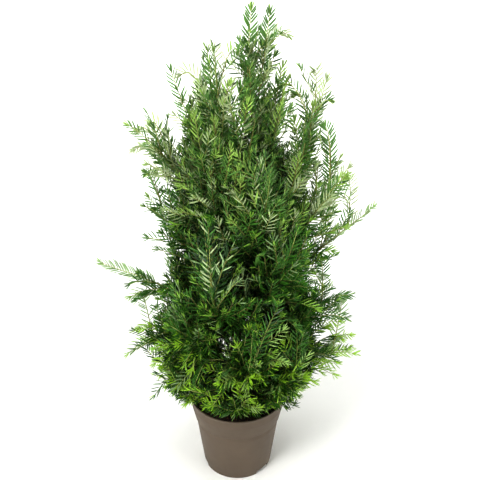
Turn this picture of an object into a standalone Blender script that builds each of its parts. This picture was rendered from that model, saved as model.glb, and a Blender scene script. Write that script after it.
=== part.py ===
"""A young English yew in its grower's pot: pot, soil, trunk, boughs and masses of needle foliage.

Metres, +Z up. The origin is the centre of the pot's flat underside, -Y is the side that is
usually seen, and azimuths are degrees round +Z from +X.
"""

import math
import random
from typing import NamedTuple

import bmesh
import bpy
import numpy as np
from mathutils import Matrix, Vector

# Pot: a grower's five litre container. Its collar has an upright band, draws in below it, and ends in a step.
POT_HEIGHT = 0.185
POT_RIM_RADIUS = 0.1125
POT_BASE_RADIUS = 0.083
POT_BODY_TOP_RADIUS = 0.1085
POT_WALL = 0.0022
POT_FLOOR = 0.004
POT_FACETS = 32
COLLAR_HEIGHT = 0.054
COLLAR_STEP = 0.0024
COLLAR_STEP_HEIGHT = 0.003
BAND_HEIGHT = 0.022
BAND_RADIUS = 0.1106
LIP_DEPTH = 0.0045
LIP_OUT = 0.0014
LIP_ROUND = 0.0012
EDGE_CUT = 0.001
FOOT_NOTCHES = 3
FOOT_NOTCH_AZIMUTH = -43.0
FOOT_NOTCH_WIDTH = 0.040
FOOT_NOTCH_HEIGHT = 0.009
FOOT_NOTCH_DEPTH = 0.010

# Soil: fills the pot to a little under its lip, and is a little higher round the trunk.
SOIL_LEVEL = 0.170
SOIL_CROWN = 0.003
SOIL_FLAT_RADIUS = 0.018
GAP = 0.0003

# Trunk: from a flat cut on the soil to the foot of the leading shoot.
TREE_TOP = 1.035
TRUNK_TOP = 0.800
TRUNK_FOOT_RADIUS = 0.0074
TRUNK_TOP_RADIUS = 0.0026
FLARE_RADIUS = 0.0042
FLARE_HEIGHT = 0.020
TRUNK_LEAN = 0.026
TRUNK_SWAY = 0.006
TRUNK_RINGS = 10
TRUNK_SIDES = 8
CLEARANCE_SIDES = 12

# Crown: its outline, and the branches that fill it to the front and to the back in turn.
CROWN_FOOT = 0.160
CROWN_RADIUS = 0.200
CROWN_BELLY = 0.55
CROWN_FULLNESS = 0.45
BODY_BRANCHES = 17
BODY_LOWEST_TIP = 0.225
BODY_HIGHEST_TIP = 0.965
BODY_LOWEST_START = 0.192
BODY_HIGHEST_START = 0.640
BODY_START_CURVE = 1.5
BODY_TIP_CURVE = 1.25
BODY_SWING = 48.0
BODY_SWING_START = 180.0
BODY_LOW_BOW = 0.25
BODY_HIGH_BOW = -0.70
BODY_BOW_RATE = 1.7
BODY_SHARE = 0.93
BODY_LOW_SPREAD = 0.138
BODY_HIGH_SPREAD = 0.118
GOLDEN_ANGLE = 137.508
FIRST_SEED = 100

# Limbs: a bough is the bare inner stretch of a branch, and is left out on a short branch.
BOUGH_SHARE = 0.18
BOUGH_LEAST_REACH = 0.165
BOUGH_FOOT_RADIUS = 0.0036
BOUGH_TIP_RADIUS = 0.0026
BOUGH_RINGS = 3
BOUGH_SIDES = 5
STEM_RADIUS = 0.0022
STEM_TIP_RADIUS = 0.0012
STEM_RINGS = 5
STEM_SIDES = 3

# Sprays: a toothed blade stands for a shoot with its two rows of needles.
NEEDLE_SPAN = 0.0300
NEEDLE_FORWARD = 0.0190
NEEDLE_LIFT = 0.16
RIB_HALF_WIDTH = 0.0030
RIB_HALF_THICKNESS = 0.0013
BARE_FOOT = 0.016
SPRAY_TIP_LENGTH = 0.014
LEADING_SPRAY = 0.125
LEADING_TEETH = 7
SIDE_TEETH = 5
SHORT_TEETH = 3
SHORT_SPRAY = 0.072
SIDE_SPACING = 0.032
SIDE_FEWEST = 5
SIDE_MOST = 10
SIDE_ANGLE = 42.0
SIDE_FIRST = 0.04
SIDE_LAST = 0.78
SIDE_SHORTENING = 0.30
SIDE_ROLL = 85.0
SIDE_BEND = 0.45
SIDE_DRIFT = 0.12
LOW_CLIMB = 0.10
HIGH_CLIMB = 0.38
CLIMB_FOOT = 0.25
CLIMB_RANGE = 0.50
LIGHT_OUT = 0.8
LIGHT_UP = 0.6
BOW_OUT = 0.35
BOW_UP = 0.40
LEADING_LEAST_ROLL = 55.0
LEADING_MOST_ROLL = 90.0
SPRAY_LEAST = 0.045
SPACE_MARGIN = 0.0013
LIMB_MARGIN = 0.0030
POT_MARGIN = 0.0035
OWN_MARGIN = 0.0080
CROWN_MARGIN = 0.005
CROWN_RISE = 0.045
LEADING_ROLLS = 4
PLACING_TURNS = 12
PLACING_SIZES = 4
CURVE_SAMPLES = 48

POT_COLOUR = (0.180, 0.142, 0.102, 1.0)
SOIL_COLOUR = (0.020, 0.011, 0.008, 1.0)
BARK_COLOUR = (0.105, 0.058, 0.032, 1.0)
OLD_NEEDLE_COLOUR = (0.022, 0.085, 0.020, 1.0)
NEW_NEEDLE_COLOUR = (0.115, 0.300, 0.040, 1.0)


class Branch(NamedTuple):
    """One branch from the trunk: where it starts and ends, how it bows, and how far its side shoots go.

    bow is 1 for a shoot that climbs and then arches out, and -1 for one that runs out and then climbs.
    """

    name: str
    azimuth: float
    start: float
    reach: float
    tip: float
    bow: float
    spread: float


# The branches that make the crown's ragged outline, each one a shoot that stands out of it.
OUTLINE_BRANCHES = (
    Branch("second_leader", 350, 0.700, 0.062, 1.030, -0.2, 0.070),
    Branch("upper_left_plume", 172, 0.572, 0.058, 0.968, -0.4, 0.085),
    Branch("upper_left_arch", 184, 0.500, 0.128, 0.928, 0.0, 0.100),
    Branch("left_arch", 188, 0.420, 0.212, 0.825, 0.5, 0.120),
    Branch("left_shoulder", 174, 0.350, 0.192, 0.668, 0.2, 0.115),
    Branch("long_left_shoot", 183, 0.262, 0.296, 0.522, 0.7, 0.085),
    Branch("lower_left_fan", 176, 0.215, 0.243, 0.352, 0.3, 0.130),
    Branch("lower_left_skirt", 192, 0.196, 0.190, 0.225, 0.6, 0.110),
    Branch("upper_right_plume", 12, 0.610, 0.092, 0.935, -0.3, 0.085),
    Branch("right_plume", 358, 0.470, 0.175, 0.912, -0.4, 0.110),
    Branch("right_shoulder", 349, 0.390, 0.225, 0.745, 0.0, 0.125),
    Branch("long_right_shoot", 2, 0.320, 0.292, 0.640, 0.3, 0.085),
    Branch("right_fan", 6, 0.250, 0.248, 0.436, 0.2, 0.130),
    Branch("lower_right_fan", 355, 0.231, 0.272, 0.315, 0.5, 0.125),
    Branch("lower_right_skirt", 350, 0.194, 0.172, 0.205, 0.7, 0.100),
)


def mix(low, high, share):
    return low + (high - low) * share


def outward(azimuth):
    angle = math.radians(azimuth)
    return Vector((math.cos(angle), math.sin(angle), 0.0))


def trunk_axis(height):
    """The middle of the trunk, and of the leading shoot above it, at a height."""
    share = (height - SOIL_LEVEL) / (TREE_TOP - SOIL_LEVEL)
    lean = TRUNK_LEAN * max(share, 0.0) ** 1.3
    sway = TRUNK_SWAY * math.sin(1.5 * math.pi * share)
    return Vector((lean, sway, height))


def trunk_radius(height):
    share = (height - SOIL_LEVEL) / (TRUNK_TOP - SOIL_LEVEL)
    flare = FLARE_RADIUS * math.exp(-(height - SOIL_LEVEL) / (FLARE_HEIGHT / 3))
    return mix(TRUNK_FOOT_RADIUS, TRUNK_TOP_RADIUS, share) + flare


def crown_radius(height):
    """The crown's outline, without the shoots that stand out of it."""
    share = (height - CROWN_FOOT) / (TREE_TOP + 0.005 - CROWN_FOOT)
    return CROWN_RADIUS * math.sin(math.pi * share**CROWN_BELLY) ** CROWN_FULLNESS


def body_branches():
    """The branches that fill the front and the back in turn, each swung to one side or the other."""
    made = []
    for index in range(BODY_BRANCHES):
        share = index / (BODY_BRANCHES - 1)
        tip = mix(BODY_LOWEST_TIP, BODY_HIGHEST_TIP, share**BODY_TIP_CURVE)
        start = mix(BODY_LOWEST_START, BODY_HIGHEST_START, share**BODY_START_CURVE)
        side = 270 if index % 2 == 0 else 90
        azimuth = side + BODY_SWING * math.sin(math.radians(BODY_SWING_START + index * GOLDEN_ANGLE))
        reach = crown_radius(tip) * BODY_SHARE
        bow = mix(BODY_LOW_BOW, BODY_HIGH_BOW, min(1.0, share * BODY_BOW_RATE))
        spread = mix(BODY_LOW_SPREAD, BODY_HIGH_SPREAD, share)
        made.append(Branch(f"body_{index + 1:02d}", azimuth, start, reach, tip, bow, spread))
    return made


class Axis:
    """The line that a branch follows from the trunk to its tip, as a quadratic curve."""

    def __init__(self, foot, bend, tip):
        self.foot, self.bend, self.tip = foot, bend, tip

    def at(self, share):
        rest = 1 - share
        return self.foot * rest**2 + self.bend * (2 * share * rest) + self.tip * share**2

    def heading(self, share):
        return ((self.bend - self.foot) * (1 - share) + (self.tip - self.bend) * share).normalized()

    def length(self):
        points = [self.at(i / CURVE_SAMPLES) for i in range(CURVE_SAMPLES + 1)]
        return sum((b - a).length for a, b in zip(points, points[1:]))


def branch_axis(branch):
    foot = trunk_axis(branch.start)
    tip = outward(branch.azimuth) * branch.reach + Vector((0, 0, branch.tip))
    run = Vector((tip.x - foot.x, tip.y - foot.y, 0))
    rise = Vector((0, 0, branch.tip - branch.start))
    bend = foot + run * (0.5 - BOW_OUT * branch.bow) + rise * (0.5 + BOW_UP * branch.bow)
    return Axis(foot, bend, tip)


def leader_axis():
    foot = trunk_axis(TRUNK_TOP)
    tip = trunk_axis(TREE_TOP)
    return Axis(foot, (foot + tip) / 2, tip)


def colour(name, rgba, roughness):
    material = bpy.data.materials.new(name)
    material.use_nodes = True
    shader = material.node_tree.nodes["Principled BSDF"]
    shader.inputs["Base Color"].default_value = rgba
    shader.inputs["Roughness"].default_value = roughness
    shader.inputs["Metallic"].default_value = 0.0
    material.diffuse_color = rgba
    return material


def add_object(name, mesh, material):
    made = bpy.data.objects.new(name, mesh)
    bpy.context.scene.collection.objects.link(made)
    mesh.materials.clear()
    mesh.materials.append(material)
    return made


def mesh_from(bm, name):
    bmesh.ops.recalc_face_normals(bm, faces=bm.faces)
    mesh = bpy.data.meshes.new(name)
    bm.to_mesh(mesh)
    bm.free()
    return mesh


def bake_modifiers(made):
    """Puts what the object's modifiers make into its own mesh."""
    graph = bpy.context.evaluated_depsgraph_get()
    baked = bpy.data.meshes.new_from_object(made.evaluated_get(graph))
    made.modifiers.clear()
    old, made.data = made.data, baked
    bpy.data.meshes.remove(old)


def turned(profile, facets, name):
    """A closed solid turned about Z from a profile of (radius, height) whose ends lie on the axis."""
    bm = bmesh.new()
    line = [bm.verts.new((radius, 0, height)) for radius, height in profile]
    edges = [bm.edges.new(pair) for pair in zip(line, line[1:])]
    bmesh.ops.spin(
        bm, geom=line + edges, cent=(0, 0, 0), axis=(0, 0, 1), angle=2 * math.pi, steps=facets, use_merge=True
    )
    bmesh.ops.remove_doubles(bm, verts=bm.verts, dist=1e-5)
    return mesh_from(bm, name)


def pot_outer_radius(height):
    """The tapering body, without its collar."""
    return mix(POT_BASE_RADIUS, POT_BODY_TOP_RADIUS, height / POT_HEIGHT)


def build_pot(plastic):
    step = POT_HEIGHT - COLLAR_HEIGHT
    collar = pot_outer_radius(step) + COLLAR_STEP
    band = POT_HEIGHT - BAND_HEIGHT
    lip = POT_HEIGHT - LIP_DEPTH
    profile = [
        (0, 0),
        (POT_BASE_RADIUS - EDGE_CUT, 0),
        (POT_BASE_RADIUS, EDGE_CUT),
        (pot_outer_radius(step), step),
        (collar, step + COLLAR_STEP_HEIGHT),
        (BAND_RADIUS, band),
        (POT_RIM_RADIUS - LIP_OUT, lip),
        (POT_RIM_RADIUS, lip + LIP_ROUND),
        (POT_RIM_RADIUS, POT_HEIGHT),
        (POT_RIM_RADIUS - LIP_OUT - POT_WALL, POT_HEIGHT),
        (BAND_RADIUS - POT_WALL, band),
        (collar - POT_WALL, step + COLLAR_STEP_HEIGHT),
        (pot_outer_radius(step) - POT_WALL, step),
        (POT_BASE_RADIUS - POT_WALL, POT_FLOOR),
        (0, POT_FLOOR),
    ]
    pot = add_object("pot", turned(profile, POT_FACETS, "pot"), plastic)
    for index in range(FOOT_NOTCHES):
        azimuth = FOOT_NOTCH_AZIMUTH + index * 360 / FOOT_NOTCHES
        cut_foot_notch(pot, azimuth, index)
    return pot


def cut_foot_notch(pot, azimuth, index):
    """One drain: a slot cut up into the pot's bottom edge, right through its wall."""
    bm = bmesh.new()
    bmesh.ops.create_cube(bm, size=1.0)
    size = (2 * FOOT_NOTCH_DEPTH, FOOT_NOTCH_WIDTH, 2 * FOOT_NOTCH_HEIGHT)
    bmesh.ops.scale(bm, vec=size, verts=bm.verts)
    top = [edge for edge in bm.edges if all(vert.co.z > 0 for vert in edge.verts)]
    top = [edge for edge in top if abs(edge.verts[0].co.y - edge.verts[1].co.y) < FOOT_NOTCH_DEPTH]
    bmesh.ops.bevel(bm, geom=top, offset=FOOT_NOTCH_HEIGHT * 0.6, segments=2, profile=0.5, affect="EDGES")
    turn = Matrix.Rotation(math.radians(azimuth), 4, "Z") @ Matrix.Translation((POT_BASE_RADIUS, 0, 0))
    bmesh.ops.transform(bm, matrix=turn, verts=bm.verts)
    cutter = bpy.data.objects.new(f"foot_notch_cutter_{index}", mesh_from(bm, "foot_notch_cutter"))
    bpy.context.scene.collection.objects.link(cutter)
    cutter.hide_render = True
    cutter.display_type = "WIRE"
    cut = pot.modifiers.new(f"foot_notch_{index}", "BOOLEAN")
    cut.operation = "DIFFERENCE"
    cut.object = cutter


def build_soil(earth):
    """A plug that follows the inside of the pot with a gap all round."""
    step = POT_HEIGHT - COLLAR_HEIGHT
    collar = pot_outer_radius(step) + COLLAR_STEP
    band = POT_HEIGHT - BAND_HEIGHT
    inset = POT_WALL + 2 * GAP
    profile = [
        (0, POT_FLOOR + GAP),
        (POT_BASE_RADIUS - inset, POT_FLOOR + GAP),
        (pot_outer_radius(step) - inset, step),
        (collar - inset, step + COLLAR_STEP_HEIGHT + GAP),
        (BAND_RADIUS - inset, band + GAP),
        (BAND_RADIUS - inset, SOIL_LEVEL - SOIL_CROWN),
        (BAND_RADIUS * 0.6, SOIL_LEVEL - SOIL_CROWN * 0.3),
        (SOIL_FLAT_RADIUS, SOIL_LEVEL),
        (0, SOIL_LEVEL),
    ]
    return add_object("soil", turned(profile, POT_FACETS, "soil"), earth)


def rings_along(points, radii, sides):
    """A round or three-sided limb through points, as a closed bmesh, with its rings kept from twisting."""
    bm = bmesh.new()
    across = Vector((1, 0, 0))
    previous = None
    for index, (point, radius) in enumerate(zip(points, radii)):
        ahead = points[min(index + 1, len(points) - 1)]
        behind = points[max(index - 1, 0)]
        heading = (ahead - behind).normalized()
        if abs(heading.dot(across)) > 0.95:
            across = Vector((0, 1, 0))
        across = (across - heading * heading.dot(across)).normalized()
        other = heading.cross(across)
        ring = []
        for side in range(sides):
            angle = 2 * math.pi * side / sides
            ring.append(bm.verts.new(point + (across * math.cos(angle) + other * math.sin(angle)) * radius))
        if previous:
            for side in range(sides):
                after = (side + 1) % sides
                bm.faces.new((previous[side], previous[after], ring[after], ring[side]))
        else:
            bm.faces.new(ring[::-1])
        previous = ring
    bm.faces.new(previous)
    return bm


def build_trunk(bark):
    heights = [SOIL_LEVEL + GAP, SOIL_LEVEL + FLARE_HEIGHT * 0.25, SOIL_LEVEL + FLARE_HEIGHT * 0.6]
    heights += [mix(SOIL_LEVEL + FLARE_HEIGHT, TRUNK_TOP, i / (TRUNK_RINGS - 1)) for i in range(TRUNK_RINGS)]
    points = [trunk_axis(height) for height in heights]
    radii = [trunk_radius(height) for height in heights]
    bm = rings_along(points, radii, TRUNK_SIDES)
    for vert in bm.verts:
        if vert.co.z < SOIL_LEVEL + FLARE_HEIGHT * 0.1:
            vert.co.z = SOIL_LEVEL + GAP
    return add_object("trunk", mesh_from(bm, "trunk"), bark)


def trunk_clearance():
    """The trunk made fatter by the gap, which cuts each limb that starts on it."""
    heights = [mix(SOIL_LEVEL - 0.01, TRUNK_TOP, i / TRUNK_RINGS) for i in range(TRUNK_RINGS + 1)]
    points = [trunk_axis(height) for height in heights]
    radii = [trunk_radius(max(height, SOIL_LEVEL + 0.012)) + 2 * GAP for height in heights]
    mesh = mesh_from(rings_along(points, radii, CLEARANCE_SIDES), "trunk_clearance")
    cutter = bpy.data.objects.new("trunk_clearance", mesh)
    bpy.context.scene.collection.objects.link(cutter)
    cutter.hide_render = True
    cutter.display_type = "WIRE"
    return cutter


def cut_clear_of_trunk(limb, cutter):
    cut = limb.modifiers.new("clear_of_trunk", "BOOLEAN")
    cut.operation = "DIFFERENCE"
    cut.object = cutter
    bpy.context.view_layer.update()
    bake_modifiers(limb)


def has_bough(branch):
    return branch.reach >= BOUGH_LEAST_REACH


def build_bough(branch, axis, bark, cutter):
    """The bare inner stretch of a branch, which ends where it enters its mass of foliage."""
    shares = [BOUGH_SHARE * i / (BOUGH_RINGS - 1) for i in range(BOUGH_RINGS)]
    points = [axis.at(share) for share in shares]
    radii = [mix(BOUGH_FOOT_RADIUS, BOUGH_TIP_RADIUS, i / (BOUGH_RINGS - 1)) for i in range(BOUGH_RINGS)]
    bm = rings_along(points, radii, BOUGH_SIDES)
    bough = add_object(f"bough_{branch.name}", mesh_from(bm, "bough"), bark)
    cut_clear_of_trunk(bough, cutter)
    return bough


class Spray(NamedTuple):
    """A shoot with its needles: its own curve, the way its flat side faces, its length and its teeth."""

    axis: Axis
    facing: Vector
    length: float
    teeth: int


def facing_of(axis, roll):
    """The flat side of a spray lies open to the light, up and away from the trunk, and then rolls."""
    middle, heading = axis.at(0.5), axis.heading(0.5)
    away = Vector((middle.x, middle.y, 0))
    away = away.normalized() if away.length > 1e-6 else Vector((0, -1, 0))
    light = away * LIGHT_OUT + Vector((0, 0, LIGHT_UP))
    light = (light - heading * heading.dot(light)).normalized()
    return Matrix.Rotation(math.radians(roll), 3, heading) @ light


def spray_frame(spray, share):
    heading = spray.axis.heading(share)
    up = (spray.facing - heading * heading.dot(spray.facing)).normalized()
    return spray.axis.at(share), heading, up, heading.cross(up)


def needle_envelope(share):
    """Needles are short at a shoot's foot and shorter again at its tip."""
    return min(1.0, 0.50 + 1.5 * share) * min(1.0, 0.42 + 1.7 * (1 - share))


def spray_rows(spray):
    """For each tooth of a blade, its rib point and thickness, its two notches and its two tips."""
    foot = BARE_FOOT / spray.length
    last = 1 - SPRAY_TIP_LENGTH / spray.length
    rows = []
    for index in range(spray.teeth):
        share = mix(foot, last, index / (spray.teeth - 1))
        point, heading, up, side = spray_frame(spray, share)
        width = RIB_HALF_WIDTH * mix(1.0, 0.5, share)
        size = needle_envelope(share)
        tips = []
        for sign in (1, -1):
            reach = side * (sign * NEEDLE_SPAN * size) + heading * (NEEDLE_FORWARD * size)
            tips.append(point + reach + up * (NEEDLE_LIFT * NEEDLE_SPAN * size))
        notches = [point + side * (sign * width) for sign in (1, -1)]
        rows.append((point, up * RIB_HALF_THICKNESS * mix(1.0, 0.6, share), notches, tips))
    return rows


def blade_bmesh(spray):
    """A closed toothed blade, thickest along its rib, which has a point at every other tooth."""
    bm = bmesh.new()
    rows = spray_rows(spray)
    apex = bm.verts.new(spray.axis.at(1.0))
    foot = bm.verts.new(spray.axis.at(0.0))
    ribs, notches, tips = [], [], []
    for index, (point, thick, notch_pair, tip_pair) in enumerate(rows):
        ribs.append([bm.verts.new(point + thick), bm.verts.new(point - thick)] if index % 2 == 0 else None)
        notches.append([bm.verts.new(notch) for notch in notch_pair])
        tips.append([bm.verts.new(tip) for tip in tip_pair])
    for face in range(2):
        for hand in range(2):
            bm.faces.new((foot, notches[0][hand], ribs[0][face]))
            for index in range(0, len(rows), 2):
                rib, notch, tip = ribs[index][face], notches[index][hand], tips[index][hand]
                ahead = notches[index + 1][hand] if index + 1 < len(rows) else apex
                bm.faces.new((rib, notch, tip))
                bm.faces.new((rib, tip, ahead))
                if index + 1 < len(rows):
                    next_rib = ribs[index + 2][face]
                    bm.faces.new((rib, ahead, next_rib))
                    bm.faces.new((next_rib, ahead, tips[index + 1][hand]))
                    bm.faces.new((next_rib, tips[index + 1][hand], notches[index + 2][hand]))
    return bm


def inside_crown(spray, branch):
    """No side shoot stands out of the crown further than its own branch does."""
    tip = spray.axis.at(1.0)
    limit = max(crown_radius(min(max(tip.z, CROWN_FOOT + 0.001), TREE_TOP)), branch.reach)
    return math.hypot(tip.x, tip.y) < limit + CROWN_MARGIN and tip.z < branch.tip + CROWN_RISE


def clear_of_own(spray, made):
    """Sprays of one mass cross each other as little as they can, which keeps the fused mesh light."""
    places = spray_places(spray, 1)
    others = np.concatenate([spray_places(other, 1) for other in made])
    return np.linalg.norm(places[:, None, :] - others[None, :, :], axis=2).min() > OWN_MARGIN


def space_points(branches):
    """Points along every branch with its number, so that a place can be given to its nearest branch."""
    points, owners = [], []
    for number, (_, axis) in enumerate(branches):
        for index in range(CURVE_SAMPLES + 1):
            points.append(axis.at(index / CURVE_SAMPLES))
            owners.append(number)
    return np.array([p[:] for p in points]), np.array(owners)


def nearest_by_owner(places, points, owners, number):
    """How far each place is from its own branch, and from the nearest other one."""
    gaps = np.linalg.norm(places[:, None, :] - points[None, :, :], axis=2)
    own = gaps[:, owners == number].min(axis=1)
    other = gaps[:, owners != number].min(axis=1)
    return own, other


def clear_of_pot(places):
    """A place is free if it is over the soil and rim, or outside the pot."""
    radius = np.hypot(places[:, 0], places[:, 1])
    return bool(np.all((radius > POT_RIM_RADIUS + POT_MARGIN) | (places[:, 2] > POT_HEIGHT + POT_MARGIN)))


def clear_of_limbs(places, trunk_points, trunk_radii, bough_points):
    gaps = np.linalg.norm(places[:, None, :] - trunk_points[None, :, :], axis=2) - trunk_radii[None, :]
    if gaps.min() < LIMB_MARGIN:
        return False
    if bough_points is None:
        return True
    gaps = np.linalg.norm(places[:, None, :] - bough_points[None, :, :], axis=2)
    return gaps.min() > BOUGH_FOOT_RADIUS + LIMB_MARGIN


def spray_places(spray, skip_foot):
    """The places that a blade takes up: its rib, its needle tips and the middles of its needles."""
    places = [spray.axis.at(1.0)]
    for index, (point, _, notches, tips) in enumerate(spray_rows(spray)):
        if index >= skip_foot:
            places.append(point)
        for notch, tip in zip(notches, tips):
            places.append(tip)
            places.append((notch + tip) / 2)
    return np.array([p[:] for p in places])


def side_spray(branch, axis, share, around, length, roll):
    """A side shoot at a share of the branch, leaving it at the side angle and bending towards the light."""
    foot = axis.at(share)
    heading = axis.heading(share)
    across = heading.cross(Vector((0, 0, 1)))
    across = across.normalized() if across.length > 0.05 else outward(branch.azimuth + 90)
    radial = Matrix.Rotation(around, 3, heading) @ across
    split = math.radians(SIDE_ANGLE)
    leaving = heading * math.cos(split) + radial * math.sin(split)
    climb = mix(LOW_CLIMB, HIGH_CLIMB, min(1.0, max(0.0, (branch.tip - CLIMB_FOOT) / CLIMB_RANGE)))
    turned_way = (leaving + Vector((0, 0, climb)) + outward(branch.azimuth) * SIDE_DRIFT).normalized()
    bend = foot + leaving * (length * SIDE_BEND)
    made = Axis(foot, bend, bend + turned_way * (length * (1 - SIDE_BEND)))
    teeth = SIDE_TEETH if length > SHORT_SPRAY else SHORT_TEETH
    return Spray(made, facing_of(made, roll), made.length(), teeth)


class Space:
    """What a mass of foliage has to keep clear of: the other branches' spaces, the trunk and the pot."""

    def __init__(self, branches):
        self.points, self.owners = space_points(branches)
        heights = [mix(SOIL_LEVEL, TRUNK_TOP, i / 120) for i in range(121)]
        self.trunk_points = np.array([trunk_axis(height)[:] for height in heights])
        self.trunk_radii = np.array([trunk_radius(height) for height in heights])
        self.taken = []
        self.boughs = {}
        for number, (branch, axis) in enumerate(branches):
            if has_bough(branch):
                shares = [BOUGH_SHARE * i / 16 for i in range(17)]
                self.boughs[number] = np.array([axis.at(share)[:] for share in shares])

    def take(self, spray):
        self.taken.append(spray_places(spray, 1))

    def room(self, spray):
        """How far a spray is from those already there, on average over its places."""
        places = spray_places(spray, 1)
        gaps = np.linalg.norm(places[:, None, :] - np.concatenate(self.taken)[None, :, :], axis=2)
        return gaps.min(axis=1).mean()

    def holds(self, spray, number):
        places = spray_places(spray, 1)
        own, other = nearest_by_owner(places, self.points, self.owners, number)
        if np.any(own + SPACE_MARGIN > other) or not clear_of_pot(places):
            return False
        return clear_of_limbs(places, self.trunk_points, self.trunk_radii, self.boughs.get(number))


def sprays_of(branch, axis, number, space, seed):
    """The leading spray and the side sprays of one branch, each kept inside the branch's space."""
    rng = random.Random(seed)
    first = BOUGH_SHARE if has_bough(branch) else 0.0
    whole = axis.length()
    leading = part_of(axis, 1 - LEADING_SPRAY / whole, 1.0)
    turns = [turn / (LEADING_ROLLS - 1) for turn in range(LEADING_ROLLS)]
    rolls = [mix(LEADING_LEAST_ROLL, LEADING_MOST_ROLL, turn) for turn in turns]
    rolls += [-roll for roll in rolls] + [0.0]
    sprays = [Spray(leading, facing_of(leading, roll), leading.length(), LEADING_TEETH) for roll in rolls]
    fitting = [spray for spray in sprays[:-1] if space.holds(spray, number)]
    made = [rng.choice(fitting or sprays[-1:])]
    space.take(made[0])
    count = round(whole * (1 - first) / SIDE_SPACING)
    count = min(SIDE_MOST, max(SIDE_FEWEST, count))
    for index in range(count):
        share = mix(first + SIDE_FIRST, SIDE_LAST, index / (count - 1))
        size = branch.spread * (1 - SIDE_SHORTENING * share) * rng.uniform(0.95, 1.25)
        roll = rng.uniform(-SIDE_ROLL, SIDE_ROLL)
        spray = best_placed(branch, axis, number, space, share, size, roll, made)
        if spray:
            made.append(spray)
            space.take(spray)
    return made


def best_placed(branch, axis, number, space, share, size, roll, made):
    """Of the side shoots that fit here, the one with the most room, at the largest size that fits."""
    for _ in range(PLACING_SIZES):
        turns = [2 * math.pi * turn / PLACING_TURNS for turn in range(PLACING_TURNS)]
        sprays = [side_spray(branch, axis, share, turn, size, roll) for turn in turns]
        fitting = [spray for spray in sprays if inside_crown(spray, branch) and space.holds(spray, number)]
        fitting = [spray for spray in fitting if clear_of_own(spray, made)]
        if fitting:
            return max(fitting, key=space.room)
        size = max(size * 0.85, SPRAY_LEAST)
    return None


def part_of(axis, low, high):
    """The stretch of a curve between two shares of it, as a curve of its own."""
    foot, tip = axis.at(low), axis.at(high)
    bend = foot + (axis.bend - axis.foot) * (1 - low) * (high - low)
    bend += (axis.tip - axis.bend) * low * (high - low)
    return Axis(foot, bend, tip)


def keep_largest_shell(mesh):
    """Drops loose scraps, and the inner walls of any hollow that the fusing sealed."""
    bm = bmesh.new()
    bm.from_mesh(mesh)
    bm.faces.ensure_lookup_table()
    seen, shells = set(), []
    for face in bm.faces:
        if face.index in seen:
            continue
        shell, waiting = [], [face]
        seen.add(face.index)
        while waiting:
            current = waiting.pop()
            shell.append(current)
            for edge in current.edges:
                for other in edge.link_faces:
                    if other.index not in seen:
                        seen.add(other.index)
                        waiting.append(other)
        shells.append(shell)
    shells.sort(key=lambda shell: sum(face.calc_area() for face in shell))
    scraps = [face for shell in shells[:-1] for face in shell]
    if scraps:
        bmesh.ops.delete(bm, geom=scraps, context="FACES")
    bm.to_mesh(mesh)
    bm.free()


def build_mass(branch, axis, sprays, material, cutter):
    """One mass of foliage: a three-sided stem with its toothed sprays fused on in one union."""
    first = BOUGH_SHARE if has_bough(branch) else 0.0
    start = first + GAP / axis.length()
    last = 1 - (LEADING_SPRAY - BARE_FOOT * 0.7) / axis.length()
    shares = [mix(start, last, i / (STEM_RINGS - 1)) for i in range(STEM_RINGS)]
    radii = [mix(STEM_RADIUS, STEM_TIP_RADIUS, i / (STEM_RINGS - 1)) for i in range(STEM_RINGS)]
    bm = rings_along([axis.at(share) for share in shares], radii, STEM_SIDES)
    stem = add_object(f"foliage_{branch.name}", mesh_from(bm, "stem"), material)
    blades = bpy.data.collections.new(f"blades_{branch.name}")
    bpy.context.scene.collection.children.link(blades)
    for spray in sprays:
        blade = bpy.data.objects.new("blade", mesh_from(blade_bmesh(spray), "blade"))
        blades.objects.link(blade)
    union = stem.modifiers.new("fuse", "BOOLEAN")
    union.operation = "UNION"
    union.operand_type = "COLLECTION"
    union.collection = blades
    union.solver = "MANIFOLD"
    bpy.context.view_layer.update()
    bake_modifiers(stem)
    for blade in list(blades.objects):
        bpy.data.objects.remove(blade)
    bpy.data.collections.remove(blades)
    if not has_bough(branch) and branch.name != "leader":
        cut_clear_of_trunk(stem, cutter)
    keep_largest_shell(stem.data)
    return stem


def main():
    for old in list(bpy.data.objects):
        bpy.data.objects.remove(old)
    plastic = colour("pot_plastic", POT_COLOUR, 0.55)
    earth = colour("peat_soil", SOIL_COLOUR, 0.95)
    bark = colour("yew_bark", BARK_COLOUR, 0.85)
    needles = colour("yew_needles", OLD_NEEDLE_COLOUR, 0.50)
    fresh = colour("yew_new_growth", NEW_NEEDLE_COLOUR, 0.50)

    build_pot(plastic)
    build_soil(earth)
    build_trunk(bark)
    cutter = trunk_clearance()

    leader = Branch("leader", 0.0, TRUNK_TOP, 0.0, TREE_TOP, 0.0, 0.070)
    branches = [(leader, leader_axis())]
    branches += [(branch, branch_axis(branch)) for branch in (*OUTLINE_BRANCHES, *body_branches())]
    space = Space(branches)
    for number, (branch, axis) in enumerate(branches):
        if has_bough(branch):
            build_bough(branch, axis, bark, cutter)
        sprays = sprays_of(branch, axis, number, space, FIRST_SEED + number)
        material = fresh if branch.tip < 0.45 else needles
        build_mass(branch, axis, sprays, material, cutter)


main()
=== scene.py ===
"""Looks of the potted English yew: needles, twigs, bark, soil and a moulded pot over its fixed frame.

The branches follow the same rule, sizes and seeds as the part's source, and are carried on here to
finer shoots and single needles. Metres, +Z up, -Y towards the viewer, azimuths in degrees from +X.
"""

import itertools
import math
import random
from typing import NamedTuple

import bmesh
import bpy
import numpy as np
from bpy.props import FloatProperty, FloatVectorProperty, IntProperty, PointerProperty
from mathutils import Matrix, Vector, noise


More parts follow.
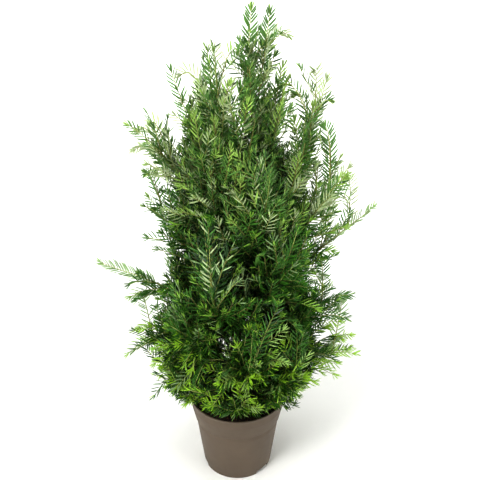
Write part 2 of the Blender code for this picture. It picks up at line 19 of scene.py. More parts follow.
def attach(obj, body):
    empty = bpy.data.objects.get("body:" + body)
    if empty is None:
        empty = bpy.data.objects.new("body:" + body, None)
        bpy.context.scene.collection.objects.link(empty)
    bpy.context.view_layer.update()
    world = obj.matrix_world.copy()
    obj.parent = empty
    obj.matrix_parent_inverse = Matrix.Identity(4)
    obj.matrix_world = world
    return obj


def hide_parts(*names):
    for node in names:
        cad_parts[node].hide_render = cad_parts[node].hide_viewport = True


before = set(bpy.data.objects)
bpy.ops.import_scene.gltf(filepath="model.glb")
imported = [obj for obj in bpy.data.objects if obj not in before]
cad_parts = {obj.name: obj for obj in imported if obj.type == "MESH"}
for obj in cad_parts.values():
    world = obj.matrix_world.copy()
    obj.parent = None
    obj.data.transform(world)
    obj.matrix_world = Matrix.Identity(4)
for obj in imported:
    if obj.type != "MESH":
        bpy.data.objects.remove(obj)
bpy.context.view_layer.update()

bl_info = {
    "name": "Potted yew",
    "version": (1, 0, 0),
    "blender": (4, 5, 0),
    "location": "3D View > Sidebar > Yew",
    "description": "Dresses the frame of a potted yew with needles, twigs, bark, soil and pot",
    "category": "Object",
}

MM = 0.001
UP = Vector((0, 0, 1))

# Pot, soil and trunk, as in the part's source.
POT_HEIGHT = 0.185
POT_RIM_RADIUS = 0.1125
POT_BASE_RADIUS = 0.083
POT_BODY_TOP_RADIUS = 0.1085
POT_WALL = 0.0022
POT_FLOOR = 0.004
COLLAR_HEIGHT = 0.054
COLLAR_STEP = 0.0024
COLLAR_STEP_HEIGHT = 0.003
BAND_HEIGHT = 0.022
BAND_RADIUS = 0.1106
LIP_DEPTH = 0.0045
LIP_OUT = 0.0014
LIP_ROUND = 0.0012
EDGE_CUT = 0.001
FOOT_NOTCHES = 3
FOOT_NOTCH_AZIMUTH = -43.0
FOOT_NOTCH_WIDTH = 0.040
FOOT_NOTCH_HEIGHT = 0.009
FOOT_NOTCH_DEPTH = 0.010
SOIL_LEVEL = 0.170
TREE_TOP = 1.035
TRUNK_TOP = 0.800
TRUNK_FOOT_RADIUS = 0.0074
TRUNK_TOP_RADIUS = 0.0026
FLARE_RADIUS = 0.0042
FLARE_HEIGHT = 0.020
TRUNK_LEAN = 0.026
TRUNK_SWAY = 0.006

# Crown and branches, as in the part's source.
CROWN_FOOT = 0.160
CROWN_RADIUS = 0.200
CROWN_BELLY = 0.55
CROWN_FULLNESS = 0.45
BODY_BRANCHES = 17
BODY_LOWEST_TIP = 0.225
BODY_HIGHEST_TIP = 0.965
BODY_LOWEST_START = 0.192
BODY_HIGHEST_START = 0.640
BODY_START_CURVE = 1.5
BODY_TIP_CURVE = 1.25
BODY_SWING = 48.0
BODY_SWING_START = 180.0
BODY_LOW_BOW = 0.25
BODY_HIGH_BOW = -0.70
BODY_BOW_RATE = 1.7
BODY_SHARE = 0.93
BODY_LOW_SPREAD = 0.138
BODY_HIGH_SPREAD = 0.118
GOLDEN_ANGLE = 137.508
FIRST_SEED = 100
SHOOT_SEED = 700
FILLING_SEED = 7
ARCHING_SEED = 8
NEEDLE_SEED = 11
CHIP_SEED = 5
BOUGH_SHARE = 0.18
BOUGH_LEAST_REACH = 0.165
BOUGH_FOOT_RADIUS = 0.0036
BOUGH_TIP_RADIUS = 0.0026
BOW_OUT = 0.35
BOW_UP = 0.40

# Sprays of the part's source, which say where each side shoot goes.
NEEDLE_SPAN = 0.0300
NEEDLE_FORWARD = 0.0190
NEEDLE_LIFT = 0.16
RIB_HALF_WIDTH = 0.0030
BARE_FOOT = 0.016
SPRAY_TIP_LENGTH = 0.014
LEADING_SPRAY = 0.125
LEADING_TEETH = 7
SIDE_TEETH = 5
SHORT_TEETH = 3
SHORT_SPRAY = 0.072
SIDE_SPACING = 0.032
SIDE_FEWEST = 5
SIDE_MOST = 10
SIDE_ANGLE = 42.0
SIDE_FIRST = 0.04
SIDE_LAST = 0.78
SIDE_SHORTENING = 0.30
SIDE_ROLL = 85.0
SIDE_BEND = 0.45
SIDE_DRIFT = 0.12
LOW_CLIMB = 0.10
HIGH_CLIMB = 0.38
CLIMB_FOOT = 0.25
CLIMB_RANGE = 0.50
LIGHT_OUT = 0.8
LIGHT_UP = 0.6
LEADING_LEAST_ROLL = 55.0
LEADING_MOST_ROLL = 90.0
SPRAY_LEAST = 0.045
SPACE_MARGIN = 0.0013
LIMB_MARGIN = 0.0030
POT_MARGIN = 0.0035
OWN_MARGIN = 0.0080
CROWN_MARGIN = 0.005
CROWN_RISE = 0.045
LEADING_ROLLS = 4
PLACING_TURNS = 12
PLACING_SIZES = 4
CURVE_SAMPLES = 48

# Tiers of the crown by the height of a shoot, the tones of its needles, and their colours. The shade tone is
# painted shade: a darker green given to needles deep inside the crown, where shade falls.
TIER_TOPS = (0.40, 0.66, 2.0)
TIERS = ("lower", "middle", "upper")
TONES = ("shade", "leaf", "pale", "fresh")
PAINTED_SHADE, LEAF, PALE, FRESH = range(4)
# The pale tone is partly the real paler side of yew needles and partly painted highlight.
# The shade tone is painted shade, put on needles deep inside the crown.
TONE_TEXTS = ("Old needles inside", "Grown needles", "Needles that show their paler side", "New growth")
# The tiers' greens differ of their own, and the upper tier's colours are also lighter as painted light, for
# the light that reaches through the thin upper crown.
NEEDLE_COLOURS = (
    ("#10270a", "#345f18", "#97b46a", "#96bd3c"),
    ("#204214", "#427226", "#90a979", "#84ab45"),
    ("#2c4f20", "#577f3c", "#a9b88d", "#8fae58"),
)


def linear(code):
    """A colour written as sRGB hex, as the linear values that a shader takes."""
    channels = [int(code[i : i + 2], 16) / 255 for i in (1, 3, 5)]
    return tuple(c / 12.92 if c <= 0.04045 else ((c + 0.055) / 1.055) ** 2.4 for c in channels)


def size_property(name, text, value):
    return FloatProperty(name=name, description=text, default=value, min=0.0, unit="LENGTH")


def colour_property(name, text, code):
    return FloatVectorProperty(
        name=name, description=text, default=linear(code), min=0.0, max=1.0, size=3, subtype="COLOR"
    )


class YewSizes(bpy.types.PropertyGroup):
    """Sizes of the needles and of the finest shoots."""

    needle_length: size_property("Needle length", "Length of a full needle", 0.0240)
    needle_width: size_property("Needle width", "Width of a full needle", 0.0031)
    needle_pitch: size_property("Needle pitch", "Way along a shoot from one needle to the next", 0.0041)
    twig_radius: size_property("Twig radius", "Radius of a young side shoot at its foot", 0.0011)
    filling_shoots: IntProperty(
        name="Filling shoots", description="Shoots that close the crown", default=1050
    )
    bark_relief: size_property("Bark relief", "Depth of the bark's flakes and ridges", 0.0007)
    soil_chips: IntProperty(name="Soil chips", description="Pieces of bark and peat on the soil", default=900)


class YewColours(bpy.types.PropertyGroup):
    """Colours of each part of the plant. Those of the needles, by tier and tone, are added below."""

    young_twig: colour_property("Young twig", "Bark of this year's shoots", "#a2ac63")
    old_twig: colour_property("Old twig", "Bark of last year's shoots", "#7c7a42")
    bark: colour_property("Bark", "Thin scaly bark of the trunk", "#5b4030")
    pot: colour_property("Pot", "Matte taupe polypropylene", "#5f5346")
    soil: colour_property("Soil", "Moist peat", "#2c1e15")
    chip: colour_property("Chip", "Bark chips in the peat", "#5a3f29")
    floor: colour_property("Floor", "Plain pale studio floor", "#f4f4f2")


for tier, codes in zip(TIERS, NEEDLE_COLOURS):
    for tone, text, code in zip(TONES, TONE_TEXTS, codes):
        needles = colour_property(f"{tier} {tone}".capitalize(), f"{text}, {tier} crown", code)
        YewColours.__annotations__[f"{tier}_{tone}"] = needles


class Branch(NamedTuple):
    """One branch from the trunk, as in the part's source."""

    name: str
    azimuth: float
    start: float
    reach: float
    tip: float
    bow: float
    spread: float


OUTLINE_BRANCHES = (
    Branch("second_leader", 350, 0.700, 0.062, 1.030, -0.2, 0.070),
    Branch("upper_left_plume", 172, 0.572, 0.058, 0.968, -0.4, 0.085),
    Branch("upper_left_arch", 184, 0.500, 0.128, 0.928, 0.0, 0.100),
    Branch("left_arch", 188, 0.420, 0.212, 0.825, 0.5, 0.120),
    Branch("left_shoulder", 174, 0.350, 0.192, 0.668, 0.2, 0.115),
    Branch("long_left_shoot", 183, 0.262, 0.296, 0.522, 0.7, 0.085),
    Branch("lower_left_fan", 176, 0.215, 0.243, 0.352, 0.3, 0.130),
    Branch("lower_left_skirt", 192, 0.196, 0.190, 0.225, 0.6, 0.110),
    Branch("upper_right_plume", 12, 0.610, 0.092, 0.935, -0.3, 0.085),
    Branch("right_plume", 358, 0.470, 0.175, 0.912, -0.4, 0.110),
    Branch("right_shoulder", 349, 0.390, 0.225, 0.745, 0.0, 0.125),
    Branch("long_right_shoot", 2, 0.320, 0.292, 0.640, 0.3, 0.085),
    Branch("right_fan", 6, 0.250, 0.248, 0.436, 0.2, 0.130),
    Branch("lower_right_fan", 355, 0.231, 0.272, 0.315, 0.5, 0.125),
    Branch("lower_right_skirt", 350, 0.194, 0.172, 0.205, 0.7, 0.100),
)


def mix(low, high, share):
    return low + (high - low) * share


def clamp(value, low=0.0, high=1.0):
    return min(max(value, low), high)


def passed(value, start, span):
    """How far a value has come from a start over a span, from 0 to 1."""
    return clamp((value - start) / span)


def outward(azimuth):
    angle = math.radians(azimuth)
    return Vector((math.cos(angle), math.sin(angle), 0.0))


def level_across(heading, spare):
    """The level way across a heading, or a spare one where the heading is upright."""
    across = heading.cross(UP)
    return across.normalized() if across.length > 0.05 else spare


def trunk_axis(height):
    """The middle of the trunk, and of the leading shoot above it, at a height."""
    share = (height - SOIL_LEVEL) / (TREE_TOP - SOIL_LEVEL)
    lean = TRUNK_LEAN * max(share, 0.0) ** 1.3
    sway = TRUNK_SWAY * math.sin(1.5 * math.pi * share)
    return Vector((lean, sway, height))


def trunk_radius(height):
    share = (height - SOIL_LEVEL) / (TRUNK_TOP - SOIL_LEVEL)
    flare = FLARE_RADIUS * math.exp(-(height - SOIL_LEVEL) / (FLARE_HEIGHT / 3))
    return mix(TRUNK_FOOT_RADIUS, TRUNK_TOP_RADIUS, share) + flare


def crown_radius(height):
    """The crown's outline, without the shoots that stand out of it."""
    share = (height - CROWN_FOOT) / (TREE_TOP + 0.005 - CROWN_FOOT)
    return CROWN_RADIUS * math.sin(math.pi * share**CROWN_BELLY) ** CROWN_FULLNESS


def body_branches():
    """The branches that fill the front and the back in turn, each swung to one side or the other."""
    made = []
    for index in range(BODY_BRANCHES):
        share = index / (BODY_BRANCHES - 1)
        tip = mix(BODY_LOWEST_TIP, BODY_HIGHEST_TIP, share**BODY_TIP_CURVE)
        start = mix(BODY_LOWEST_START, BODY_HIGHEST_START, share**BODY_START_CURVE)
        side = 270 if index % 2 == 0 else 90
        azimuth = side + BODY_SWING * math.sin(math.radians(BODY_SWING_START + index * GOLDEN_ANGLE))
        reach = crown_radius(tip) * BODY_SHARE
        bow = mix(BODY_LOW_BOW, BODY_HIGH_BOW, min(1.0, share * BODY_BOW_RATE))
        spread = mix(BODY_LOW_SPREAD, BODY_HIGH_SPREAD, share)
        made.append(Branch(f"body_{index + 1:02d}", azimuth, start, reach, tip, bow, spread))
    return made


class Axis:
    """The line that a shoot follows from its foot to its tip, as a quadratic curve."""

    def __init__(self, foot, bend, tip):
        self.foot, self.bend, self.tip = foot, bend, tip

    def at(self, share):
        rest = 1 - share
        return self.foot * rest**2 + self.bend * (2 * share * rest) + self.tip * share**2

    def heading(self, share):
        return ((self.bend - self.foot) * (1 - share) + (self.tip - self.bend) * share).normalized()

    def places(self, shares):
        return np.array([self.at(share)[:] for share in shares])

    def length(self):
        points = [self.at(i / CURVE_SAMPLES) for i in range(CURVE_SAMPLES + 1)]
        return sum((b - a).length for a, b in zip(points, points[1:]))


def bent_axis(foot, leaving, length, bend_at, *pushes):
    """A curve that leaves its foot one way, and that is pushed another way from its bend on."""
    bend = foot + leaving * (length * bend_at)
    return Axis(foot, bend, bend + sum(pushes, leaving).normalized() * (length * (1 - bend_at)))


def branch_axis(branch):
    foot = trunk_axis(branch.start)
    tip = outward(branch.azimuth) * branch.reach + UP * branch.tip
    run = Vector((tip.x - foot.x, tip.y - foot.y, 0))
    rise = UP * (branch.tip - branch.start)
    bend = foot + run * (0.5 - BOW_OUT * branch.bow) + rise * (0.5 + BOW_UP * branch.bow)
    return Axis(foot, bend, tip)


def leader_axis():
    foot = trunk_axis(TRUNK_TOP)
    tip = trunk_axis(TREE_TOP)
    return Axis(foot, (foot + tip) / 2, tip)


def all_branches():
    leader = Branch("leader", 0.0, TRUNK_TOP, 0.0, TREE_TOP, 0.0, 0.070)
    branches = [(leader, leader_axis())]
    branches += [(branch, branch_axis(branch)) for branch in (*OUTLINE_BRANCHES, *body_branches())]
    return branches


def part_of(axis, low, high):
    """The stretch of a curve between two shares of it, as a curve of its own."""
    foot, tip = axis.at(low), axis.at(high)
    bend = foot + (axis.bend - axis.foot) * (1 - low) * (high - low)
    bend += (axis.tip - axis.bend) * low * (high - low)
    return Axis(foot, bend, tip)


def has_bough(branch):
    return branch.reach >= BOUGH_LEAST_REACH


class Spray(NamedTuple):
    """A side shoot of the part's source: its curve, the way its flat side faces, its length and its teeth."""

    axis: Axis
    facing: Vector
    length: float
    teeth: int


def facing_of(axis, roll):
    """The flat side of a spray lies open to the light, up and away from the trunk, and then rolls."""
    middle, heading = axis.at(0.5), axis.heading(0.5)
    away = Vector((middle.x, middle.y, 0))
    away = away.normalized() if away.length > 1e-6 else Vector((0, -1, 0))
    light = away * LIGHT_OUT + UP * LIGHT_UP
    light = (light - heading * heading.dot(light)).normalized()
    return Matrix.Rotation(math.radians(roll), 3, heading) @ light


def spray_frame(spray, share):
    heading = spray.axis.heading(share)
    up = (spray.facing - heading * heading.dot(spray.facing)).normalized()
    return spray.axis.at(share), heading, up, heading.cross(up)


def needle_envelope(share):
    """Needles are short at a shoot's foot and shorter again at its tip."""
    return min(1.0, 0.50 + 1.5 * share) * min(1.0, 0.42 + 1.7 * (1 - share))


def spray_places(spray):
    """The places that a spray takes up: its rib, its needle tips and the middles of its needles."""
    foot = BARE_FOOT / spray.length
    last = 1 - SPRAY_TIP_LENGTH / spray.length
    places = [spray.axis.at(1.0)]
    for index in range(spray.teeth):
        share = mix(foot, last, index / (spray.teeth - 1))
        point, heading, up, side = spray_frame(spray, share)
        width = RIB_HALF_WIDTH * mix(1.0, 0.5, share)
        size = needle_envelope(share)
        if index >= 1:
            places.append(point)
        for sign in (1, -1):
            reach = side * (sign * NEEDLE_SPAN * size) + heading * (NEEDLE_FORWARD * size)
            tip = point + reach + up * (NEEDLE_LIFT * NEEDLE_SPAN * size)
            places.append(tip)
            places.append((point + side * (sign * width) + tip) / 2)
    return np.array([place[:] for place in places])


def gaps_between(places, others):
    """The distance from each place to each of the others."""
    return np.linalg.norm(places[:, None, :] - others[None, :, :], axis=2)


def inside_crown(spray, branch):
    """No side shoot stands out of the crown further than its own branch does."""
    tip = spray.axis.at(1.0)
    limit = max(crown_radius(clamp(tip.z, CROWN_FOOT + 0.001, TREE_TOP)), branch.reach)
    return math.hypot(tip.x, tip.y) < limit + CROWN_MARGIN and tip.z < branch.tip + CROWN_RISE


def clear_of_own(spray, made):
    others = np.concatenate([spray_places(other) for other in made])
    return gaps_between(spray_places(spray), others).min() > OWN_MARGIN


def clear_of_pot(places, beside=POT_MARGIN, above=POT_MARGIN):
    radius = np.hypot(places[:, 0], places[:, 1])
    return bool(np.all((radius > POT_RIM_RADIUS + beside) | (places[:, 2] > POT_HEIGHT + above)))


def side_spray(branch, axis, share, around, length, roll):
    """A side shoot at a share of the branch, leaving it at the side angle and bending towards the light."""
    heading = axis.heading(share)
    radial = Matrix.Rotation(around, 3, heading) @ level_across(heading, outward(branch.azimuth + 90))
    split = math.radians(SIDE_ANGLE)
    leaving = heading * math.cos(split) + radial * math.sin(split)
    climb = mix(LOW_CLIMB, HIGH_CLIMB, passed(branch.tip, CLIMB_FOOT, CLIMB_RANGE))
    drift = outward(branch.azimuth) * SIDE_DRIFT
    made = bent_axis(axis.at(share), leaving, length, SIDE_BEND, UP * climb, drift)
    teeth = SIDE_TEETH if length > SHORT_SPRAY else SHORT_TEETH
    return Spray(made, facing_of(made, roll), made.length(), teeth)


class Space:
    """What a mass of foliage keeps clear of: the other branches' spaces, the trunk and the pot."""

    def __init__(self, branches):
        shares = [i / CURVE_SAMPLES for i in range(CURVE_SAMPLES + 1)]
        self.points = np.concatenate([axis.places(shares) for _, axis in branches])
        self.owners = np.repeat(np.arange(len(branches)), len(shares))
        self.boughs = {}
        for number, (branch, axis) in enumerate(branches):
            if has_bough(branch):
                self.boughs[number] = axis.places([BOUGH_SHARE * i / 16 for i in range(17)])
        heights = [mix(SOIL_LEVEL, TRUNK_TOP, i / 120) for i in range(121)]
        self.trunk_points = np.array([trunk_axis(height)[:] for height in heights])
        self.trunk_radii = np.array([trunk_radius(height) for height in heights])
        self.taken = []

    def take(self, spray):
        self.taken.append(spray_places(spray))

    def room(self, spray):
        """How far a spray is from those already there, on average over its places."""
        return gaps_between(spray_places(spray), np.concatenate(self.taken)).min(axis=1).mean()

    def holds(self, spray, number):
        places = spray_places(spray)
        gaps = gaps_between(places, self.points)
        own = gaps[:, self.owners == number].min(axis=1)
        other = gaps[:, self.owners != number].min(axis=1)
        if np.any(own + SPACE_MARGIN > other) or not clear_of_pot(places):
            return False
        if (gaps_between(places, self.trunk_points) - self.trunk_radii).min() < LIMB_MARGIN:
            return False
        if number not in self.boughs:
            return True
        return gaps_between(places, self.boughs[number]).min() > BOUGH_FOOT_RADIUS + LIMB_MARGIN


def sprays_of(branch, axis, number, space):
    """The leading spray and the side sprays of one branch, each kept inside the branch's space."""
    rng = random.Random(FIRST_SEED + number)
    first = BOUGH_SHARE if has_bough(branch) else 0.0
    whole = axis.length()
    leading = part_of(axis, 1 - LEADING_SPRAY / whole, 1.0)
    turns = [turn / (LEADING_ROLLS - 1) for turn in range(LEADING_ROLLS)]
    rolls = [mix(LEADING_LEAST_ROLL, LEADING_MOST_ROLL, turn) for turn in turns]
    rolls += [-roll for roll in rolls] + [0.0]
    sprays = [Spray(leading, facing_of(leading, roll), leading.length(), LEADING_TEETH) for roll in rolls]
    fitting = [spray for spray in sprays[:-1] if space.holds(spray, number)]
    made = [rng.choice(fitting or sprays[-1:])]
    space.take(made[0])
    count = round(whole * (1 - first) / SIDE_SPACING)
    count = min(SIDE_MOST, max(SIDE_FEWEST, count))
    for index in range(count):
        share = mix(first + SIDE_FIRST, SIDE_LAST, index / (count - 1))
        size = branch.spread * (1 - SIDE_SHORTENING * share) * rng.uniform(0.95, 1.25)
        roll = rng.uniform(-SIDE_ROLL, SIDE_ROLL)
        spray = best_placed(branch, axis, number, space, share, size, roll, made)
        if spray:
            made.append(spray)
            space.take(spray)
    return made


def best_placed(branch, axis, number, space, share, size, roll, made):
    """Of the side shoots that fit here, the one with the most room, at the largest size that fits."""
    for _ in range(PLACING_SIZES):
        turns = [2 * math.pi * turn / PLACING_TURNS for turn in range(PLACING_TURNS)]
        sprays = [side_spray(branch, axis, share, turn, size, roll) for turn in turns]
        fitting = [spray for spray in sprays if inside_crown(spray, branch) and space.holds(spray, number)]
        fitting = [spray for spray in fitting if clear_of_own(spray, made)]
        if fitting:
            return max(fitting, key=space.room)
        size = max(size * 0.85, SPRAY_LEAST)
    return None


# How far the fine shoots fill the crown, which is drawn in at its waist.
WAIST = 0.10
WAIST_HEIGHT = 0.56
WAIST_SPAN = 0.13
EDGE_INSET = 0.014
REACH_INSET = 0.022
TOP_PLAY = 0.02
RIM_PLAY = 0.028
RIM_RISE = 0.020
FREE_TOP = TREE_TOP - 0.04


def full_radius(height):
    height = clamp(height, CROWN_FOOT + 0.001, TREE_TOP)
    return crown_radius(height) * (1 - WAIST * math.exp(-(((height - WAIST_HEIGHT) / WAIST_SPAN) ** 2)))


def fits(axis, reach, top):
    """A fine shoot keeps inside the crown's outline, or its own branch's reach, and out of the pot."""
    tip = axis.at(1.0)
    limit = max(full_radius(tip.z) - EDGE_INSET, reach - REACH_INSET)
    if math.hypot(tip.x - trunk_axis(tip.z).x, tip.y) > limit or tip.z > top + TOP_PLAY:
        return False
    return clear_of_pot(axis.places((0.5, 0.75, 1.0)), RIM_PLAY, RIM_RISE)


# Where light reaches: near the crown's surface, and anywhere in its thin upper part. Where little reaches,
# needles take the shade tone, which is painted shade.
LIT_FROM = 0.58
LIT_SPAN = 0.36
THIN_CROWN_LIGHT = 0.62
THIN_CROWN_LOW = 0.58
THIN_CROWN_HIGH = 0.78


def exposure_at(point):
    """0 deep inside the crown and 1 on its surface, and high up, where light comes through the thin crown."""
    limit = crown_radius(clamp(point[2], CROWN_FOOT + 0.01, TREE_TOP))
    share = math.hypot(point[0], point[1]) / limit
    thin = THIN_CROWN_LIGHT * passed(point[2], THIN_CROWN_LOW, THIN_CROWN_HIGH - THIN_CROWN_LOW)
    return max(passed(share, LIT_FROM, LIT_SPAN), thin)


def tier_at(height):
    return next(index for index, top in enumerate(TIER_TOPS) if height < top)


# The lowest that foliage hangs over the rim: a height at a radius, and the slope from there outwards.
FRONT_FROM = 0.50
FRONT_SPAN = 0.30
SKIRT_START = 0.070
SKIRT_FOOT = 0.175
SKIRT_SLOPE = 0.90
SIDE_SKIRT_START = 0.140
SIDE_SKIRT_FOOT = 0.176
SIDE_SKIRT_SLOPE = 3.0
SIDE_SKIRT_SPAN = 0.035
SIDE_SKIRT_MOST = 0.045


def lift_skirt(points):
    """Raises what hangs too low, most of all at the front, where the rim and the soil show."""
    radius = np.hypot(points[:, 0], points[:, 1])
    front = np.clip((-points[:, 1] / np.maximum(radius, 1e-6) - FRONT_FROM) / FRONT_SPAN, 0, 1)
    at_front = SKIRT_FOOT + SKIRT_SLOPE * np.maximum(radius - SKIRT_START, 0) - points[:, 2]
    beyond = np.clip(radius - SIDE_SKIRT_START, 0, SIDE_SKIRT_SPAN)
    at_sides = SIDE_SKIRT_FOOT + SIDE_SKIRT_SLOPE * beyond - points[:, 2]
    points[:, 2] += front * np.maximum(at_front, 0) + (1 - front) * np.clip(at_sides, 0, SIDE_SKIRT_MOST)


# The way a shoot's tip nods, from the upper crown to the lower one.
NOD_FROM = 0.55
NOD_SPAN = 0.45
NOD_TOP = 0.62
NOD_FOOT = 0.36
NOD_OUT = (0.003, 0.006)
NOD_DOWN = (0.006, 0.026)
LEADING_NOD = 0.3


def nod_at(tip):
    """The way in which a shoot's tip bends over: out and down, and most so in the lower crown."""
    away = Vector((tip.x, tip.y, 0)).normalized()
    low = clamp((NOD_TOP - tip.z) / (NOD_TOP - NOD_FOOT))
    return away * mix(*NOD_OUT, low) + Vector((0, 0, -mix(*NOD_DOWN, low)))


# How many of the shoots lie open to the light, and how far each rolls from its facing, in degrees.
OPEN_CHANCE = 0.62
OPEN_ROLL = 28
EDGE_ROLL = 12


def edge_facing(axis, rng):
    """Shoots of the outline turn their flat side sideways, so that both rows of needles stand out."""
    return facing_of(axis, 90 * rng.choice((-1, 1)) + rng.uniform(-EDGE_ROLL, EDGE_ROLL))


def some_facing(axis, rng):
    """Most shoots open their needles to the light, and the others turn them on edge."""
    middle = 0 if rng.random() < OPEN_CHANCE else 90
    return facing_of(axis, middle + rng.uniform(-OPEN_ROLL, OPEN_ROLL))


# Filling shoots: how deep their tips lie, as shares of the crown's radius, how long they are and how
# much they wish to stand upright. Each pair goes from the low crown to the high one, which are told
# apart by heights, here as a start and a span.
FILLING_FOOT = POT_HEIGHT + 0.004
FILLING_DEEPEST = 0.22
FILLING_DEPTHS = (0.97, 0.66)
DEPTH_HEIGHTS = (0.30, 0.30)
FILLING_LENGTHS = (0.080, 0.130)
FILLING_UPRIGHT = (0.05, 0.28)
FILLING_HEIGHTS = (0.25, 0.45)
FILLING_PLAY = (0.8, 1.2)
FILLING_AHEAD = 0.7


def filling_places(count, rng):
    """Tips spread evenly through the inside of the crown by the golden angle, each at its own depth."""
    heights = np.linspace(FILLING_FOOT, TRUNK_TOP, 200)
    room = np.cumsum([crown_radius(height) for height in heights])
    shares = (np.arange(count) + 0.5) / count
    chosen = np.interp(shares * room[-1], room, heights)
    made = []
    for index, height in enumerate(chosen):
        highest = mix(*FILLING_DEPTHS, passed(height, *DEPTH_HEIGHTS))
        depth = mix(FILLING_DEEPEST, highest, math.sqrt(rng.random()))
        made.append(outward(index * GOLDEN_ANGLE) * (crown_radius(height) * depth) + UP * height)
    return made


# Places along a limb from which shoots leave, and what a wrong angle costs against a wrong length.
LIMB_PLACES = 22
LIMB_LAST = 0.85
TRUNK_PLACES = 60
TRUNK_FIRST = 0.015
ANGLE_COST = 0.05


class Limbs:
    """Places along the trunk and the branches from which a shoot may leave, with their headings."""

    def __init__(self, branches):
        points, headings = [], []
        for branch, axis in branches:
            for share in np.linspace(BOUGH_SHARE * 0.5, LIMB_LAST, LIMB_PLACES):
                points.append(axis.at(share)[:])
                headings.append(axis.heading(share)[:])
        for height in np.linspace(SOIL_LEVEL + TRUNK_FIRST, TRUNK_TOP, TRUNK_PLACES):
            points.append(trunk_axis(height)[:])
            headings.append((0, 0, 1))
        self.points, self.headings = np.array(points), np.array(headings)

    def for_tip(self, tip, length, upright):
        """The place from which a shoot of about a length best reaches a tip."""
        ways = np.array(tip[:]) - self.points
        gaps = np.linalg.norm(ways, axis=1)
        ways = ways / gaps[:, None]
        angle = np.arccos(np.clip((ways * self.headings).sum(axis=1), -1, 1))
        cost = np.abs(gaps - length)
        cost += ANGLE_COST * np.abs(angle - math.radians(SIDE_ANGLE)) + upright * (1 - ways[:, 2])
        best = int(np.argmin(cost))
        return Vector(self.points[best]), Vector(self.headings[best]), Vector(ways[best]), float(gaps[best])


class Shoot(NamedTuple):
    """A shoot with single needles: its points, the side its needles open to, and how it is dressed."""

    points: np.ndarray
    facing: np.ndarray
    radii: tuple
    bare: float
    pitch: float
    tier: int
    exposure: float
    tone: int
    fresh: float
    width: float = 1.0


# Fine shoots: their points, and the chance and the share of paler and of fresh needles by tier. The paler
# needles are partly the real paler underside of yew needles and partly painted highlight, likeliest in the
# upper tier.
SHOOT_POINTS = 9
DEPTH_LIMIT = 0.196
DEEP_PITCH = 1.30
PALE_CHANCE = (0.16, 0.22, 0.32)
FRESH_CHANCE = (0.44, 0.30, 0.30)
FRESH_SHARE = (0.50, 0.42, 0.42)

# The leaders end free of side shoots, and the long shoots of the outline are bare beyond a radius.
LEADER_TIP = 1.0
LEADER_FREE = 0.080
LONG_REACH = 0.28
LONG_BARE = 0.235
LONG_LIFT = 0.006
EDGE_PITCH = 0.75
EDGE_WIDTH = 1.22

# Each kind of shoot by its radii at foot and tip, as shares of a twig's, and the share of it that is bare.
LEADING_DRESS = (1.25, 0.6, 0.05)
TWIG_DRESS = (0.8, 0.5, 0.10)
PLUME_DRESS = (1.0, 0.55, 0.08)
FILLING_DRESS = (1.2, 0.6, 0.05)
ARCHING_DRESS = (1.3, 0.7, 0.05)

# The stretches of shoots on which side twigs stand.
LEADING_TWIGS = (0.06, 0.45)
SPRAY_TWIGS = (0.06, 0.60)
FILLING_TWIGS = (0.30, 0.72)
ARCHING_TWIGS = (0.10, 0.46)

# Stems: radii at the foot in metres, from the low crown to the high one, radii at the tip as shares of a
# twig's, and the share that is bare.
STEM_RADII = (0.0024, 0.0016)
STEM_HEIGHTS = (0.5, 0.4)
STEM_TIP = 1.25
SECOND_RADIUS = 0.0015
SECOND_TIP = 0.7
STEM_BARE = 0.10

# Side twigs: the way from one to the next, and the angle, tilt and play with which they leave.
SIDE_TWIG_STEP = 0.040
SIDE_TWIG_LEAST = 0.018
SIDE_TWIG_SPLIT = (28, 40)
SIDE_TWIG_TILT = (-0.9, 1.1)
SIDE_TWIG_PLAY = (0.85, 1.15)
SIDE_TWIG_AHEAD = 0.35
SIDE_TWIG_RISE = 0.12

# Plumes: shoots close round a branch, up to a last share of it, at a step and a size of their own.
PLUME_STEP = 0.012
PLUME_SIZE = 0.095
LEADER_PLUME_SIZE = 0.055
PLUME_LAST = 0.80
LONG_PLUME_LAST = 0.58
PLUME_SPLIT = (24, 40)
PLUME_PLAY = (0.75, 1.2)
PLUME_SHORTENING = 0.35
PLUME_AHEAD = 0.3
PLUME_TRIES = 4
PLUME_SHRINK = 0.75
PLUME_UPRIGHT = (0.25, 0.70)
PLUME_HEIGHTS = (0.45, 0.30)

# Second branchlets: where they leave their branch, how they stand up, ahead and aside, and what their
# own plumes have as first and last share, step and size.
SECOND_SHARES = (0.18, 0.26, 0.34, 0.42, 0.50, 0.58, 0.66)
NARROW_SECOND_SHARES = (0.12, 0.34)
NARROW_SPREAD = 0.08
SECOND_UPRIGHT = (0.2, 1.6)
SECOND_HEIGHTS = (0.25, 0.4)
SECOND_LEAST = 0.10
SECOND_PLAY = (0.75, 1.0)
SECOND_AHEAD = 0.75
SECOND_ASIDE = (0.5, 0.8)
SECOND_TRIES = 5
SECOND_SHRINK = 0.85
SECOND_PLUME = (0.10, 0.55, 0.019, 0.062)

# The shoots that arch out of the crown's outline, as (left to right, height) of their tips.
ARCHING_TIPS = (
    (0.106, 1.000), (-0.056, 0.975), (-0.012, 0.968), (-0.118, 0.928), (-0.121, 0.873), (-0.181, 0.837),
    (-0.212, 0.822), (-0.224, 0.778), (-0.196, 0.735), (-0.182, 0.660), (-0.222, 0.455), (-0.240, 0.360),
    (-0.243, 0.315), (-0.198, 0.263), (-0.190, 0.206), (0.100, 0.910), (0.160, 0.936), (0.190, 0.880),
    (0.186, 0.830), (0.196, 0.800), (0.218, 0.752), (0.240, 0.722), (0.206, 0.665), (0.190, 0.540),
    (0.248, 0.436), (0.250, 0.346), (0.180, 0.745), (0.214, 0.380), (-0.192, 0.436),
)
